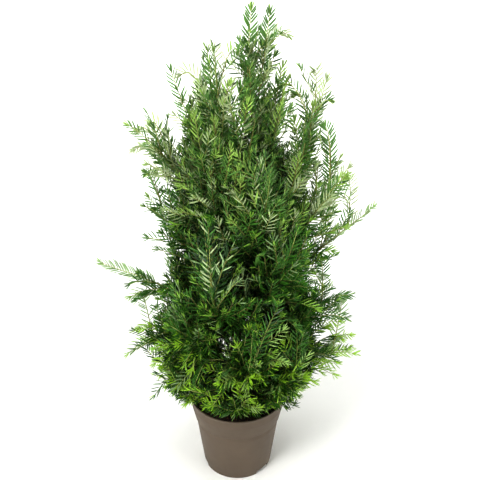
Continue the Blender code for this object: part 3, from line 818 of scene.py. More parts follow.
# The shoots of one arch, by how far each tip stands inwards, back and down from the first.
ARCHING_COMPANIONS = ((0.0, 0.0, 0.0), (0.030, 0.025, 0.046))
ARCHING_ALONE = 0.95
ARCHING_PULL = 0.010
ARCHING_LENGTH = 0.110
ARCHING_RISE = 0.036
ARCHING_AHEAD = 0.010
ARCHING_DEPTH = 0.020
ARCHING_UPRIGHT = 0.08
ARCHING_NOD = Vector((0, 0, -0.010))
ARCHING_PALE = 0.50


class Growth:
    """The stems and the fine shoots as they grow, with the random draws of the stage under way."""

    def __init__(self, sizes):
        self.sizes = sizes
        self.rng = None
        self.stems, self.shoots = [], []

    def shoot(self, axis, facing, radii, bare, height, nod=None, pale=None):
        """A shoot on a curve, whose last stretch may nod over, and which may end in new growth."""
        tier = tier_at(height)
        shares = np.linspace(0, 1, SHOOT_POINTS)
        points = axis.places(shares)
        if nod is not None:
            points += np.outer(np.clip((shares - NOD_FROM) / NOD_SPAN, 0, 1) ** 2, np.array(nod))
        lift_skirt(points)
        points[:, 1] = np.clip(points[:, 1], -DEPTH_LIMIT, DEPTH_LIMIT)
        exposure = exposure_at(points[-1])
        pitch = self.sizes.needle_pitch * mix(DEEP_PITCH, 1.0, exposure)
        is_fresh = self.rng.random() < FRESH_CHANCE[tier] * exposure
        fresh = FRESH_SHARE[tier] * self.rng.uniform(0.5, 1.0) if is_fresh else 0.0
        tone = PALE if self.rng.random() < (PALE_CHANCE[tier] if pale is None else pale) else LEAF
        return Shoot(points, np.array(facing[:]), radii, bare, pitch, tier, exposure, tone, fresh)

    def twig(self, axis, facing, dress, height, nod=None, pale=None):
        """Adds a shoot whose radii are shares of a twig's."""
        foot, tip, bare = dress
        radii = (self.sizes.twig_radius * foot, self.sizes.twig_radius * tip)
        self.shoots.append(self.shoot(axis, facing, radii, bare, height, nod, pale))

    def side_twigs(self, shoot, facing, length, reach, top, first, last):
        """The finer shoots that leave a shoot to the left and right in turn, in the plane of its needles."""
        spray = Spray(shoot, facing, length, 0)
        count = round(length * (last - first) / SIDE_TWIG_STEP)
        for index in range(count):
            share = mix(first, last, (index + 0.5) / count)
            point, heading, up, side = spray_frame(spray, share)
            hand = 1 if index % 2 else -1
            size = (length * (1 - share) * 0.5 + SIDE_TWIG_LEAST) * self.rng.uniform(*SIDE_TWIG_PLAY)
            split = math.radians(self.rng.uniform(*SIDE_TWIG_SPLIT))
            sideways = side * hand + up * self.rng.uniform(*SIDE_TWIG_TILT)
            leaving = (heading * math.cos(split) + sideways.normalized() * math.sin(split)).normalized()
            axis = bent_axis(point, leaving, size, 0.5, heading * SIDE_TWIG_AHEAD, UP * SIDE_TWIG_RISE)
            if fits(axis, reach, top):
                self.twig(axis, some_facing(axis, self.rng), TWIG_DRESS, point.z)

    def spray_with_twigs(self, spray, branch, leading):
        """The shoot of one spray and its finer shoots, which on a leading shoot stay near its foot."""
        is_long = leading and branch.reach > LONG_REACH
        is_leader = leading and branch.tip > LEADER_TIP
        nod = UP * LONG_LIFT if is_long else nod_at(spray.axis.tip) * (LEADING_NOD if leading else 1.0)
        facing = edge_facing(spray.axis, self.rng) if leading else spray.facing
        self.twig(spray.axis, facing, LEADING_DRESS, branch.tip, nod)
        if is_leader or is_long:
            first = self.shoots[-1]
            tone = LEAF if is_leader else PALE
            pitch = first.pitch * EDGE_PITCH
            self.shoots[-1] = first._replace(tone=tone, fresh=0.0, pitch=pitch, width=EDGE_WIDTH)
        stretch = LEADING_TWIGS if leading else SPRAY_TWIGS
        self.side_twigs(spray.axis, spray.facing, spray.length, branch.reach, branch.tip, *stretch)

    def plume(self, axis, first, last, step, size, reach, top):
        """Shoots all round an axis that keep close to it, so that together they stand as one plume."""
        count = round(axis.length() * (last - first) / step)
        around = self.rng.uniform(0, 2 * math.pi)
        for index in range(count):
            share = mix(first, last, (index + 0.5) / count)
            around += math.radians(GOLDEN_ANGLE)
            heading = axis.heading(share)
            radial = Matrix.Rotation(around, 3, heading) @ level_across(heading, Vector((1, 0, 0)))
            split = math.radians(self.rng.uniform(*PLUME_SPLIT))
            leaving = (heading * math.cos(split) + radial * math.sin(split)).normalized()
            foot = axis.at(share)
            length = size * self.rng.uniform(*PLUME_PLAY) * (1 - PLUME_SHORTENING * share)
            upright = UP * mix(*PLUME_UPRIGHT, passed(foot.z, *PLUME_HEIGHTS))
            for _ in range(PLUME_TRIES):
                curve = bent_axis(foot, leaving, length, 0.5, heading * PLUME_AHEAD, upright)
                if fits(curve, reach, top):
                    self.twig(curve, some_facing(curve, self.rng), PLUME_DRESS, curve.tip.z)
                    break
                length *= PLUME_SHRINK

    def second_axes(self, branch, axis):
        """Branchlets that leave a branch left and right of its run and stand up beside it."""
        made = []
        whole = axis.length()
        shares = NARROW_SECOND_SHARES if branch.spread < NARROW_SPREAD else SECOND_SHARES
        for index, share in enumerate(shares):
            hand = 1 if (index + int(branch.azimuth)) % 2 else -1
            heading = axis.heading(share)
            sideways = level_across(heading, outward(branch.azimuth + 90))
            length = max(SECOND_LEAST, whole * (1 - share) * self.rng.uniform(*SECOND_PLAY))
            aside = sideways * hand * self.rng.uniform(*SECOND_ASIDE)
            leaving = (heading * SECOND_AHEAD + aside).normalized()
            upright = UP * mix(*SECOND_UPRIGHT, passed(branch.tip, *SECOND_HEIGHTS))
            for _ in range(SECOND_TRIES):
                curve = bent_axis(axis.at(share), leaving, length, SIDE_BEND, upright)
                if fits(curve, 0.0, FREE_TOP):
                    made.append(curve)
                    break
                length *= SECOND_SHRINK
        return made

    def dress(self, branch, axis, sprays):
        """One branch: its sprays, the plume round it, its stem, and its second branchlets."""
        is_leader = branch.tip > LEADER_TIP
        is_long = branch.reach > LONG_REACH
        top = branch.tip - LEADER_FREE if is_leader else branch.tip
        for index, spray in enumerate(sprays):
            tip = spray.axis.tip
            too_far = is_long and math.hypot(tip.x, tip.y) > LONG_BARE
            if index == 0 or not (too_far or is_leader and tip.z >= top):
                self.spray_with_twigs(spray, branch, leading=index == 0)
        first = BOUGH_SHARE if has_bough(branch) else 0.0
        last = LONG_PLUME_LAST if is_long else PLUME_LAST
        size = LEADER_PLUME_SIZE if is_leader else PLUME_SIZE
        self.plume(axis, first, last, PLUME_STEP, size, branch.reach, top)
        stem = part_of(axis, first, 1 - (LEADING_SPRAY - 0.01) / axis.length())
        twig = self.sizes.twig_radius
        radii = (mix(*STEM_RADII, passed(branch.tip, *STEM_HEIGHTS)), twig * STEM_TIP)
        self.stems.append(self.shoot(stem, facing_of(stem, 0), radii, STEM_BARE, branch.tip))
        for second in [] if is_long else self.second_axes(branch, axis):
            radii = (SECOND_RADIUS, twig * SECOND_TIP)
            facing = some_facing(second, self.rng)
            self.stems.append(self.shoot(second, facing, radii, STEM_BARE, branch.tip))
            self.plume(second, *SECOND_PLUME, 0.0, FREE_TOP)

    def fill(self, limbs):
        """Shoots that close the crown: each goes from the limb that suits it best to its own tip."""
        for tip in filling_places(self.sizes.filling_shoots, self.rng):
            share = passed(tip.z, *FILLING_HEIGHTS)
            length = mix(*FILLING_LENGTHS, share) * self.rng.uniform(*FILLING_PLAY)
            foot, heading, way, gap = limbs.for_tip(tip, length, mix(*FILLING_UPRIGHT, share))
            leaving = (heading * FILLING_AHEAD + way).normalized()
            curve = Axis(foot, foot + leaving * (gap * SIDE_BEND), tip)
            if fits(curve, 0.0, TREE_TOP):
                facing = some_facing(curve, self.rng)
                self.twig(curve, facing, FILLING_DRESS, tip.z, nod_at(tip))
                self.side_twigs(curve, facing, gap, 0.0, TREE_TOP, *FILLING_TWIGS)

    def arch_over(self, limbs):
        """Shoots that rise out of the crown's outline and nod over at their tips."""
        arches = itertools.product(ARCHING_TIPS, ARCHING_COMPANIONS)
        for (left_right, height), (inwards, back, down) in arches:
            at_waist = abs(height - WAIST_HEIGHT) < WAIST_SPAN
            if inwards and (at_waist or height > ARCHING_ALONE):
                continue
            across = left_right - math.copysign(inwards + ARCHING_PULL, left_right)
            tip = Vector((across, back + self.rng.uniform(-ARCHING_DEPTH, ARCHING_DEPTH), height - down))
            foot, heading, _, gap = limbs.for_tip(tip, ARCHING_LENGTH, ARCHING_UPRIGHT)
            curve = Axis(foot, (foot + tip) / 2 + UP * ARCHING_RISE + heading * ARCHING_AHEAD, tip)
            facing = edge_facing(curve, self.rng)
            self.twig(curve, facing, ARCHING_DRESS, tip.z, ARCHING_NOD, ARCHING_PALE)
            self.side_twigs(curve, facing, gap, abs(across) + 0.01, tip.z, *ARCHING_TWIGS)


def grow(sizes):
    """Every shoot of the plant: the branches themselves, their sprays, and the finest shoots."""
    branches = all_branches()
    space = Space(branches)
    limbs = Limbs(branches)
    growth = Growth(sizes)
    for number, (branch, axis) in enumerate(branches):
        growth.rng = random.Random(SHOOT_SEED + number)
        growth.dress(branch, axis, sprays_of(branch, axis, number, space))
    growth.rng = random.Random(FILLING_SEED)
    growth.fill(limbs)
    growth.rng = random.Random(ARCHING_SEED)
    growth.arch_over(limbs)
    return growth.stems, growth.shoots


def unit(rows):
    return rows / np.maximum(np.linalg.norm(rows, axis=1, keepdims=True), 1e-9)


def along(points, shares):
    """Points and headings at shares of a shoot's length."""
    steps = np.linspace(0, 1, len(points))
    place = np.stack([np.interp(shares, steps, points[:, axis]) for axis in range(3)], axis=1)
    slopes = np.gradient(points, axis=0)
    heading = np.stack([np.interp(shares, steps, slopes[:, axis]) for axis in range(3)], axis=1)
    return place, unit(heading)


# A needle is a keeled blade: its foot, two rows of left edge, keel and right edge, and its tip.
NEEDLE_FACES = ((0, 1, 2), (0, 2, 3), (1, 4, 5, 2), (2, 5, 6, 3), (4, 7, 5), (5, 7, 6))

# Deep inside the crown it goes without its keel.
PLAIN_CORNERS = (0, 1, 3, 4, 6, 7)
PLAIN_FACES = ((0, 1, 2), (1, 3, 4, 2), (3, 5, 4))

# Its rows by their way out and their sweep ahead, as shares of its length, and how its edges taper.
LOW_ROW = (0.20, 0.01)
HIGH_ROW = (0.74, 0.06)
TIP_ROW = (1.0, 0.13)
EDGE_TAPER = 0.92
KEEL_HEIGHT = 0.75

# How needles stand, where pairs go from a level shoot to an upright one, told apart by its slope as a
# start and a span. Angles are in degrees.
UPRIGHT_SLOPES = (0.55, 0.35)
ROW_ANGLES = (56, 76)
ROW_SPREAD = 7
ALL_ROUND = (0.04, 0.22)
ROLL_SPREADS = (45, 18)
LEAN_SPREAD = 3
TUFT_NEEDLES = 5
TUFT_FROM = 0.955
TUFT_LEAST_LEAN = 8
TUFT_MOST_LEANS = (44, 32)
TUFT_WIDTH = 0.66

# Lean and size of the needles at shares of the shoot's length.
LEAN_AT = (0, 0.70, 0.93, 1)
LEANS = (54, 46, 38, 24)
SIZE_AT = (0, 0.12, 0.75, 0.97, 1)
NEEDLE_SIZES = (0.7, 1.0, 1.0, 0.70, 0.62)


def needles_on(shoot, rng, sizes):
    """The needles of one shoot as corner points, and the tone of each."""
    length = float(np.linalg.norm(np.diff(shoot.points, axis=0), axis=1).sum())
    count = max(5, int(length * (1 - shoot.bare) / shoot.pitch))
    rows = np.linspace(shoot.bare, 0.97, count)
    shares = np.concatenate((rows, np.linspace(TUFT_FROM, 1.0, TUFT_NEEDLES)))
    count = len(shares)
    index = np.arange(count)
    in_tuft = index >= count - TUFT_NEEDLES
    place, heading = along(shoot.points, shares)
    up = unit(shoot.facing[None, :] - heading * (heading @ shoot.facing)[:, None])
    side = np.cross(heading, up)
    upright = passed(float(heading[:, 2].mean()), *UPRIGHT_SLOPES)

    hand = np.where(index % 2 == 0, 1.0, -1.0)
    ranked = hand * np.radians(mix(*ROW_ANGLES, upright) + rng.normal(0, ROW_SPREAD, count))
    all_round = in_tuft | (rng.random(count) < mix(*ALL_ROUND, upright))
    turn = np.where(all_round, np.radians(GOLDEN_ANGLE * index), ranked)
    radial = up * np.cos(turn)[:, None] + side * np.sin(turn)[:, None]
    lean = np.interp(shares, LEAN_AT, LEANS) + rng.normal(0, LEAN_SPREAD, count)
    tuft_lean = rng.uniform(TUFT_LEAST_LEAN, mix(*TUFT_MOST_LEANS, upright), count)
    lean = np.radians(np.where(in_tuft, tuft_lean, lean))
    way = heading * np.cos(lean)[:, None] + radial * np.sin(lean)[:, None]

    open_up = unit(up - way * (up * way).sum(axis=1, keepdims=True))
    roll = rng.normal(0, np.radians(mix(*ROLL_SPREADS, upright)), count)
    flat = open_up * np.cos(roll)[:, None] + np.cross(way, open_up) * np.sin(roll)[:, None]
    size = np.interp(shares, SIZE_AT, NEEDLE_SIZES) * rng.uniform(0.88, 1.1, count)
    long = (sizes.needle_length * size)[:, None]
    wide = np.where(in_tuft, TUFT_WIDTH, np.clip(size, 0.8, 1.0))
    half = (sizes.needle_width * shoot.width * 0.5 * wide)[:, None]
    keel = flat * (KEEL_HEIGHT * half)
    across = np.cross(way, flat)
    left, right = across * half, across * (-half)
    sweep = heading * long
    levels = (LOW_ROW, HIGH_ROW, TIP_ROW)
    low, high, tip = [place + way * (long * out) + sweep * ahead for out, ahead in levels]
    low_row = (low + left, low + keel, low + right)
    high_row = (high + left * EDGE_TAPER, high + keel, high + right * EDGE_TAPER)
    corners = np.stack((place, *low_row, *high_row, tip), axis=1)

    newest = shares + rng.normal(0, 0.04, count) > 1 - shoot.fresh
    # Needles of shoots deep inside the crown, where little light reaches, take the shade tone: painted shade.
    tone = np.where(rng.random(count) < 1 - 1.4 * shoot.exposure, PAINTED_SHADE, shoot.tone)
    return corners, np.where(newest, FRESH, tone)


def mesh_of_faces(name, points, faces, per_item):
    """One joined mesh of many equal items, each with per_item points and the same faces."""
    items = len(points) // per_item
    pattern = np.concatenate([np.array(face) for face in faces])
    corner = (np.arange(items)[:, None] * per_item + pattern[None, :]).ravel()
    totals = np.tile([len(face) for face in faces], items)
    starts = np.concatenate(([0], np.cumsum(totals)[:-1]))
    mesh = bpy.data.meshes.new(name)
    mesh.vertices.add(len(points))
    mesh.vertices.foreach_set("co", np.ascontiguousarray(points, dtype=np.float32).ravel())
    mesh.loops.add(len(corner))
    mesh.loops.foreach_set("vertex_index", corner.astype(np.int32))
    mesh.polygons.add(len(totals))
    mesh.polygons.foreach_set("loop_start", starts.astype(np.int32))
    mesh.update(calc_edges=True)
    return mesh


def mesh_from(bm, name):
    mesh = bpy.data.meshes.new(name)
    bm.to_mesh(mesh)
    bm.free()
    return mesh


def rings_along(points, radii, sides, start):
    """Each ring of a tapering limb and its spokes, which don't twist on the way."""
    heading = unit(np.gradient(points, axis=0))
    across = np.cross(heading[0], start)
    turns = 2 * np.pi * np.arange(sides) / sides
    for point, way, radius in zip(points, heading, radii):
        across = across - way * (across @ way)
        across = across / np.linalg.norm(across)
        spokes = np.outer(np.cos(turns), across) + np.outer(np.sin(turns), np.cross(way, across))
        yield point + radius * spokes, spokes


def tube_faces(rings, sides):
    faces = [tuple(range(sides))[::-1], tuple((rings - 1) * sides + side for side in range(sides))]
    for ring, side in itertools.product(range(rings - 1), range(sides)):
        after = (side + 1) % sides
        low, high = ring * sides, (ring + 1) * sides
        faces.append((low + side, low + after, high + after, high + side))
    return faces


def link(name, data):
    made = bpy.data.objects.new(name, data)
    bpy.context.scene.collection.objects.link(made)
    return made


def add_piece(name, mesh, material):
    piece = link(name, mesh)
    mesh.materials.clear()
    mesh.materials.append(material)
    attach(piece, "root")
    return piece


class Nodes:
    """A small helper that adds shader nodes with their settings and links."""

    def __init__(self, name, **values):
        self.material = bpy.data.materials.new(name)
        self.material.use_nodes = True
        self.tree = self.material.node_tree
        self.shader = self.tree.nodes["Principled BSDF"]
        for key, value in {"Metallic": 0.0, **values}.items():
            self.shader.inputs[key.replace("_", " ")].default_value = value

    def add(self, kind, settings=None, **links):
        node = self.tree.nodes.new(kind)
        for key, value in (settings or {}).items():
            node.inputs[key].default_value = value
        for key, source in links.items():
            self.tree.links.new(source, node.inputs[key])
        return node

    def to_shader(self, source, name):
        self.tree.links.new(source, self.shader.inputs[name])

    def noise(self, size, detail, rough=0.55):
        """Noise whose largest spots are about size metres across."""
        place = self.add("ShaderNodeTexCoord").outputs["Object"]
        settings = {"Scale": 1.0 / size, "Detail": detail, "Roughness": rough}
        return self.add("ShaderNodeTexNoise", settings, Vector=place).outputs["Fac"]

    def blend(self, factor, low, high, low_at=0.3, high_at=0.7):
        """Gives the base colour a ramp from one linear colour to another."""
        ramp = self.add("ShaderNodeValToRGB", Fac=factor)
        for element, place, colour in zip(ramp.color_ramp.elements, (low_at, high_at), (low, high)):
            element.position = place
            element.color = (*colour, 1.0)
        self.to_shader(ramp.outputs["Color"], "Base Color")

    def bump(self, height, depth, strength=1.0):
        node = self.add("ShaderNodeBump", {"Strength": strength, "Distance": depth}, Height=height)
        self.to_shader(node.outputs["Normal"], "Normal")


def scaled(colour, factor):
    return tuple(clamp(channel * factor) for channel in colour)


def needle_material(name, colour):
    """Leathery yew needles: satin, with slight differences of tone from shoot to shoot."""
    nodes = Nodes(name, Roughness=0.36, IOR=1.45, Specular_IOR_Level=0.50)
    nodes.blend(nodes.noise(35 * MM, detail=2), scaled(colour, 0.80), scaled(colour, 1.22))
    return nodes.material


def twig_material(name, young, old):
    """Green bark of young shoots that browns in places."""
    nodes = Nodes(name, Roughness=0.62)
    nodes.blend(nodes.noise(30 * MM, detail=3), old, young, low_at=0.35, high_at=0.60)
    return nodes.material


def bark_material(colour):
    """Thin scaly yew bark: red brown flakes over a paler layer."""
    nodes = Nodes("yew_bark_scaly", Roughness=0.85)
    flakes = nodes.noise(6 * MM, detail=5, rough=0.65)
    nodes.blend(flakes, scaled(colour, 0.55), scaled(colour, 1.5))
    nodes.bump(flakes, 0.6 * MM)
    return nodes.material


def pot_material(colour):
    """Matte injection moulded polypropylene: a fine grain and faint scuffs."""
    nodes = Nodes("taupe_polypropylene", IOR=1.49)
    nodes.blend(nodes.noise(60 * MM, detail=4), scaled(colour, 0.93), scaled(colour, 1.07))
    scuffs = nodes.noise(12 * MM, detail=5)
    rough = nodes.add("ShaderNodeMapRange", {"To Min": 0.44, "To Max": 0.60}, Value=scuffs)
    nodes.to_shader(rough.outputs["Result"], "Roughness")
    nodes.bump(nodes.noise(0.9 * MM, detail=2), 0.06 * MM, strength=0.6)
    return nodes.material


def soil_material(colour):
    """Moist peat with crumbs."""
    nodes = Nodes("moist_peat", Roughness=0.92)
    crumbs = nodes.noise(4 * MM, detail=6, rough=0.7)
    nodes.blend(crumbs, scaled(colour, 0.45), scaled(colour, 1.7))
    nodes.bump(crumbs, 1.2 * MM)
    return nodes.material


def chip_material(colour):
    """Composted bark chips, paler where they have dried."""
    nodes = Nodes("bark_chips", Roughness=0.88)
    nodes.blend(nodes.noise(10 * MM, detail=4), scaled(colour, 0.5), scaled(colour, 1.6))
    nodes.bump(nodes.noise(1.5 * MM, detail=4), 0.3 * MM)
    return nodes.material


def floor_material(colour):
    """Plain pale floor."""
    return Nodes("pale_floor", Base_Color=(*colour, 1.0), Roughness=0.9).material


def foliage_nodes(tier):
    return [f"foliage_{branch.name}" for branch, _ in all_branches() if tier_at(branch.tip) == tier]


def make_needles(shoots, sizes, colours):
    """The needles of all shoots, joined by tier and tone."""
    rng = np.random.default_rng(NEEDLE_SEED)
    gathered = {pair: [] for pair in itertools.product(range(len(TIERS)), range(len(TONES)))}
    for shoot in shoots:
        corners, tones = needles_on(shoot, rng, sizes)
        for tone in range(len(TONES)):
            gathered[(shoot.tier, tone)].append(corners[tones == tone])
    for (tier, tone), parts in gathered.items():
        corners, faces = np.concatenate(parts), NEEDLE_FACES
        if tone == PAINTED_SHADE:
            corners, faces = corners[:, PLAIN_CORNERS], PLAIN_FACES
        name = f"{TIERS[tier]}_{TONES[tone]}"
        mesh = mesh_of_faces(f"needles_{name}", corners.reshape(-1, 3), faces, corners.shape[1])
        material = needle_material(f"needles_{name}", getattr(colours, name))
        piece = add_piece(f"needles_{name}", mesh, material)
        if tone == LEAF:
            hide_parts(*foliage_nodes(tier))


# The sides of a twig and of a stem, and the ways in which their first rings and a limb's start.
TWIG_SIDES = 3
STEM_SIDES = 8
TWIG_START = (0.31, 0.17, 0.93)
LIMB_START = (0.31, 0.93, 0.17)


def make_tubes(name, shoots, step, sides, material):
    """Round twigs or stems through every so many points of their shoots, as one mesh."""
    count = len(range(0, SHOOT_POINTS, step))
    rings = []
    for shoot in shoots:
        radii = [mix(*shoot.radii, index / (count - 1)) for index in range(count)]
        rings += [ring for ring, _ in rings_along(shoot.points[::step], radii, sides, TWIG_START)]
    mesh = mesh_of_faces(name, np.concatenate(rings), tube_faces(count, sides), count * sides)
    mesh.shade_smooth()
    add_piece(name, mesh, material)


def make_twigs(shoots, colours):
    """The young twigs that carry the needles, joined by tier."""
    for tier, tier_name in enumerate(TIERS):
        own = [shoot for shoot in shoots if shoot.tier == tier]
        material = twig_material(f"twig_{tier_name}", colours.young_twig, colours.old_twig)
        make_tubes(f"twigs_{tier_name}", own, 2, TWIG_SIDES, material)


def make_stems(stems, colours):
    """The leafy stretch of each branch, round and browner than its shoots."""
    material = twig_material("twig_old", colours.old_twig, scaled(colours.old_twig, 0.6))
    make_tubes("branch_stems", stems, 1, STEM_SIDES, material)


# Rings and sides of the trunk and of a bough, and the bark's ridges and flakes per metre.
TRUNK_RINGS = 150
TRUNK_SIDES = 26
BOUGH_RINGS = 14
BOUGH_SIDES = 14
RIDGES = Vector((260, 260, 60))
FLAKES = 420


def add_limb(bm, points, radii, sides, relief):
    """A limb whose surface has flakes and ridges, as one closed tube in a bmesh."""
    verts = []
    for ring, spokes in rings_along(np.array(points), radii, sides, LIMB_START):
        for place, spoke in zip(ring, spokes):
            place = Vector(place)
            height = 0.6 * noise.noise(place * RIDGES) + 0.4 * noise.noise(place * FLAKES) - 0.3
            verts.append(bm.verts.new(place + Vector(spoke) * (relief * height)))
    for face in tube_faces(len(points), sides):
        bm.faces.new([verts[corner] for corner in face])


def make_limbs(sizes, colours):
    """Trunk and boughs with the relief of their bark."""
    bm = bmesh.new()
    shares = [(i / TRUNK_RINGS) ** 1.15 for i in range(TRUNK_RINGS + 1)]
    heights = [mix(SOIL_LEVEL - 0.002, TRUNK_TOP + 0.004, share) for share in shares]
    radii = [trunk_radius(max(height, SOIL_LEVEL)) for height in heights]
    add_limb(bm, [trunk_axis(height)[:] for height in heights], radii, TRUNK_SIDES, sizes.bark_relief)
    nodes = ["trunk"]
    shares = [i / BOUGH_RINGS for i in range(BOUGH_RINGS + 1)]
    radii = [mix(BOUGH_FOOT_RADIUS, BOUGH_TIP_RADIUS, share) for share in shares]
    for branch, axis in all_branches():
        if has_bough(branch):
            places = axis.places([BOUGH_SHARE * 1.04 * share for share in shares])
            add_limb(bm, places, radii, BOUGH_SIDES, sizes.bark_relief * 0.6)
            nodes.append(f"bough_{branch.name}")
    mesh = mesh_from(bm, "trunk_and_boughs")
    mesh.shade_smooth()
    piece = add_piece("trunk_and_boughs", mesh, bark_material(colours.bark))
    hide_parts(*nodes)


def pot_outer_radius(height):
    """The tapering body, without its collar."""
    return mix(POT_BASE_RADIUS, POT_BODY_TOP_RADIUS, height / POT_HEIGHT)


def rounded(profile, radius, steps=4):
    """A profile whose corners are rounded off, each by at most the radius."""
    made = [profile[0]]
    for corners in zip(profile, profile[1:], profile[2:]):
        before, corner, after = [Vector(each) for each in corners]
        reach = min(radius, (before - corner).length * 0.45, (after - corner).length * 0.45)
        start = corner + (before - corner).normalized() * reach
        end = corner + (after - corner).normalized() * reach
        arc = Axis(start, corner, end)
        made += [tuple(arc.at(index / steps)) for index in range(steps + 1)]
    made.append(profile[-1])
    return made


def turned(profile, facets, name, closed=True):
    """A surface turned about Z from a profile of (radius, height)."""
    bm = bmesh.new()
    line = [bm.verts.new((radius, 0, height)) for radius, height in profile]
    edges = [bm.edges.new(pair) for pair in zip(line, line[1:])]
    bmesh.ops.spin(
        bm, geom=line + edges, cent=(0, 0, 0), axis=UP, angle=2 * math.pi, steps=facets, use_merge=True
    )
    bmesh.ops.remove_doubles(bm, verts=bm.verts, dist=1e-5)
    if closed:
        bmesh.ops.recalc_face_normals(bm, faces=bm.faces)
    return mesh_from(bm, name)


# Right under its collar the pot's body is drawn in a little, and its underside is hollow by a step.
UNDERCUT_HEIGHT = 0.012
UNDERCUT_DEPTH = 0.0028
COLLAR_EDGE = 0.0008
COLLAR_DRAFT = 0.0004
FOOT_RING = 0.82
FOOT_RING_STEP = 0.80
FOOT_RING_HEIGHT = 0.0012
POT_ROUNDING = 0.0010
POT_FACETS = 144
POT_SMOOTH_ANGLE = 38


def pot_profile():
    step = POT_HEIGHT - COLLAR_HEIGHT
    collar = pot_outer_radius(step) + COLLAR_STEP
    band = POT_HEIGHT - BAND_HEIGHT
    lip = POT_HEIGHT - LIP_DEPTH
    outer = [
        (0, FOOT_RING_HEIGHT),
        (POT_BASE_RADIUS * FOOT_RING_STEP, FOOT_RING_HEIGHT),
        (POT_BASE_RADIUS * FOOT_RING, 0),
        (POT_BASE_RADIUS - EDGE_CUT, 0),
        (POT_BASE_RADIUS, EDGE_CUT),
        (pot_outer_radius(step - UNDERCUT_HEIGHT), step - UNDERCUT_HEIGHT),
        (pot_outer_radius(step) - UNDERCUT_DEPTH, step),
        (collar, step + COLLAR_EDGE),
        (collar + COLLAR_DRAFT, step + COLLAR_STEP_HEIGHT),
        (BAND_RADIUS, band),
        (POT_RIM_RADIUS - LIP_OUT, lip),
        (POT_RIM_RADIUS, lip + LIP_ROUND),
        (POT_RIM_RADIUS, POT_HEIGHT),
    ]
    inner = [
        (POT_RIM_RADIUS - LIP_OUT - POT_WALL, POT_HEIGHT),
        (BAND_RADIUS - POT_WALL, band),
        (collar - POT_WALL, step + COLLAR_STEP_HEIGHT),
        (pot_outer_radius(step) - POT_WALL, step),
        (POT_BASE_RADIUS - POT_WALL, POT_FLOOR),
        (0, POT_FLOOR),
    ]
    return rounded(outer + inner, POT_ROUNDING)


def cut_foot_notch(pot, azimuth):
    """One drain: a slot cut up into the pot's bottom edge, right through its wall."""
    bm = bmesh.new()
    bmesh.ops.create_cube(bm, size=1.0)
    size = (2 * FOOT_NOTCH_DEPTH, FOOT_NOTCH_WIDTH, 2 * FOOT_NOTCH_HEIGHT)
    bmesh.ops.scale(bm, vec=size, verts=bm.verts)
    upper = [edge for edge in bm.edges if all(vert.co.z > 0 for vert in edge.verts)]
    across = [edge for edge in upper if edge.verts[0].co.y * edge.verts[1].co.y > 0]
    offset = FOOT_NOTCH_HEIGHT * 0.6
    bmesh.ops.bevel(bm, geom=across, offset=offset, segments=6, profile=0.5, affect="EDGES")
    turn = Matrix.Rotation(math.radians(azimuth), 4, "Z") @ Matrix.Translation((POT_BASE_RADIUS, 0, 0))
    bmesh.ops.transform(bm, matrix=turn, verts=bm.verts)
    bmesh.ops.recalc_face_normals(bm, faces=bm.faces)
    cutter = link("cutter", mesh_from(bm, "cutter"))
    cut = pot.modifiers.new("notch", "BOOLEAN")
    cut.operation = "DIFFERENCE"
    cut.object = cutter
    bake_modifiers(pot)
    bpy.data.objects.remove(cutter)


def bake_modifiers(made):
    """Puts what the object's modifiers make into its own mesh."""
    bpy.context.view_layer.update()
    graph = bpy.context.evaluated_depsgraph_get()
    baked = bpy.data.meshes.new_from_object(made.evaluated_get(graph))
    made.modifiers.clear()
    old, made.data = made.data, baked
    bpy.data.meshes.remove(old)


def make_pot(colours):
    """The pot, smooth, with rounded edges and its drains."""
    mesh = turned(pot_profile(), POT_FACETS, "pot")
    pot = add_piece("pot_moulded", mesh, pot_material(colours.pot))
    for index in range(FOOT_NOTCHES):
        cut_foot_notch(pot, FOOT_NOTCH_AZIMUTH + index * 360 / FOOT_NOTCHES)
    pot.data.shade_smooth()
    pot.data.set_sharp_from_angle(angle=math.radians(POT_SMOOTH_ANGLE))
    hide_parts("pot")


# The soil: its radius in the collar's upright band, its gap to the wall, and the lumps of its top.
SOIL_RADIUS = BAND_RADIUS - POT_WALL
SOIL_GAP = 0.0004
SOIL_INSET = POT_WALL + 0.0006
SOIL_SIDE = 0.006
SOIL_SINK = 0.0015
SOIL_DISH = 0.002
SOIL_LUMPS = ((0.0022, 45), (0.0012, 140))
SOIL_RINGS = 46
SOIL_FACETS = 200

# Chips: their lengths and thicknesses, and the share of long fibres among them.
CHIP_LENGTHS = (0.002, 0.0085)
CHIP_THICKNESSES = (0.0006, 0.0016)
FIBRE_CHANCE = 0.25
FIBRE_WIDTH = 0.12
CHIP_WIDTHS = (0.35, 0.7)
CHIP_ROOM = 0.006


def soil_height(x, y):
    """The uneven top of the soil."""
    lumps = sum(height * noise.noise(Vector((x, y, 0)) * rate) for height, rate in SOIL_LUMPS)
    return SOIL_LEVEL - SOIL_SINK + lumps - SOIL_DISH * (math.hypot(x, y) / POT_RIM_RADIUS) ** 2


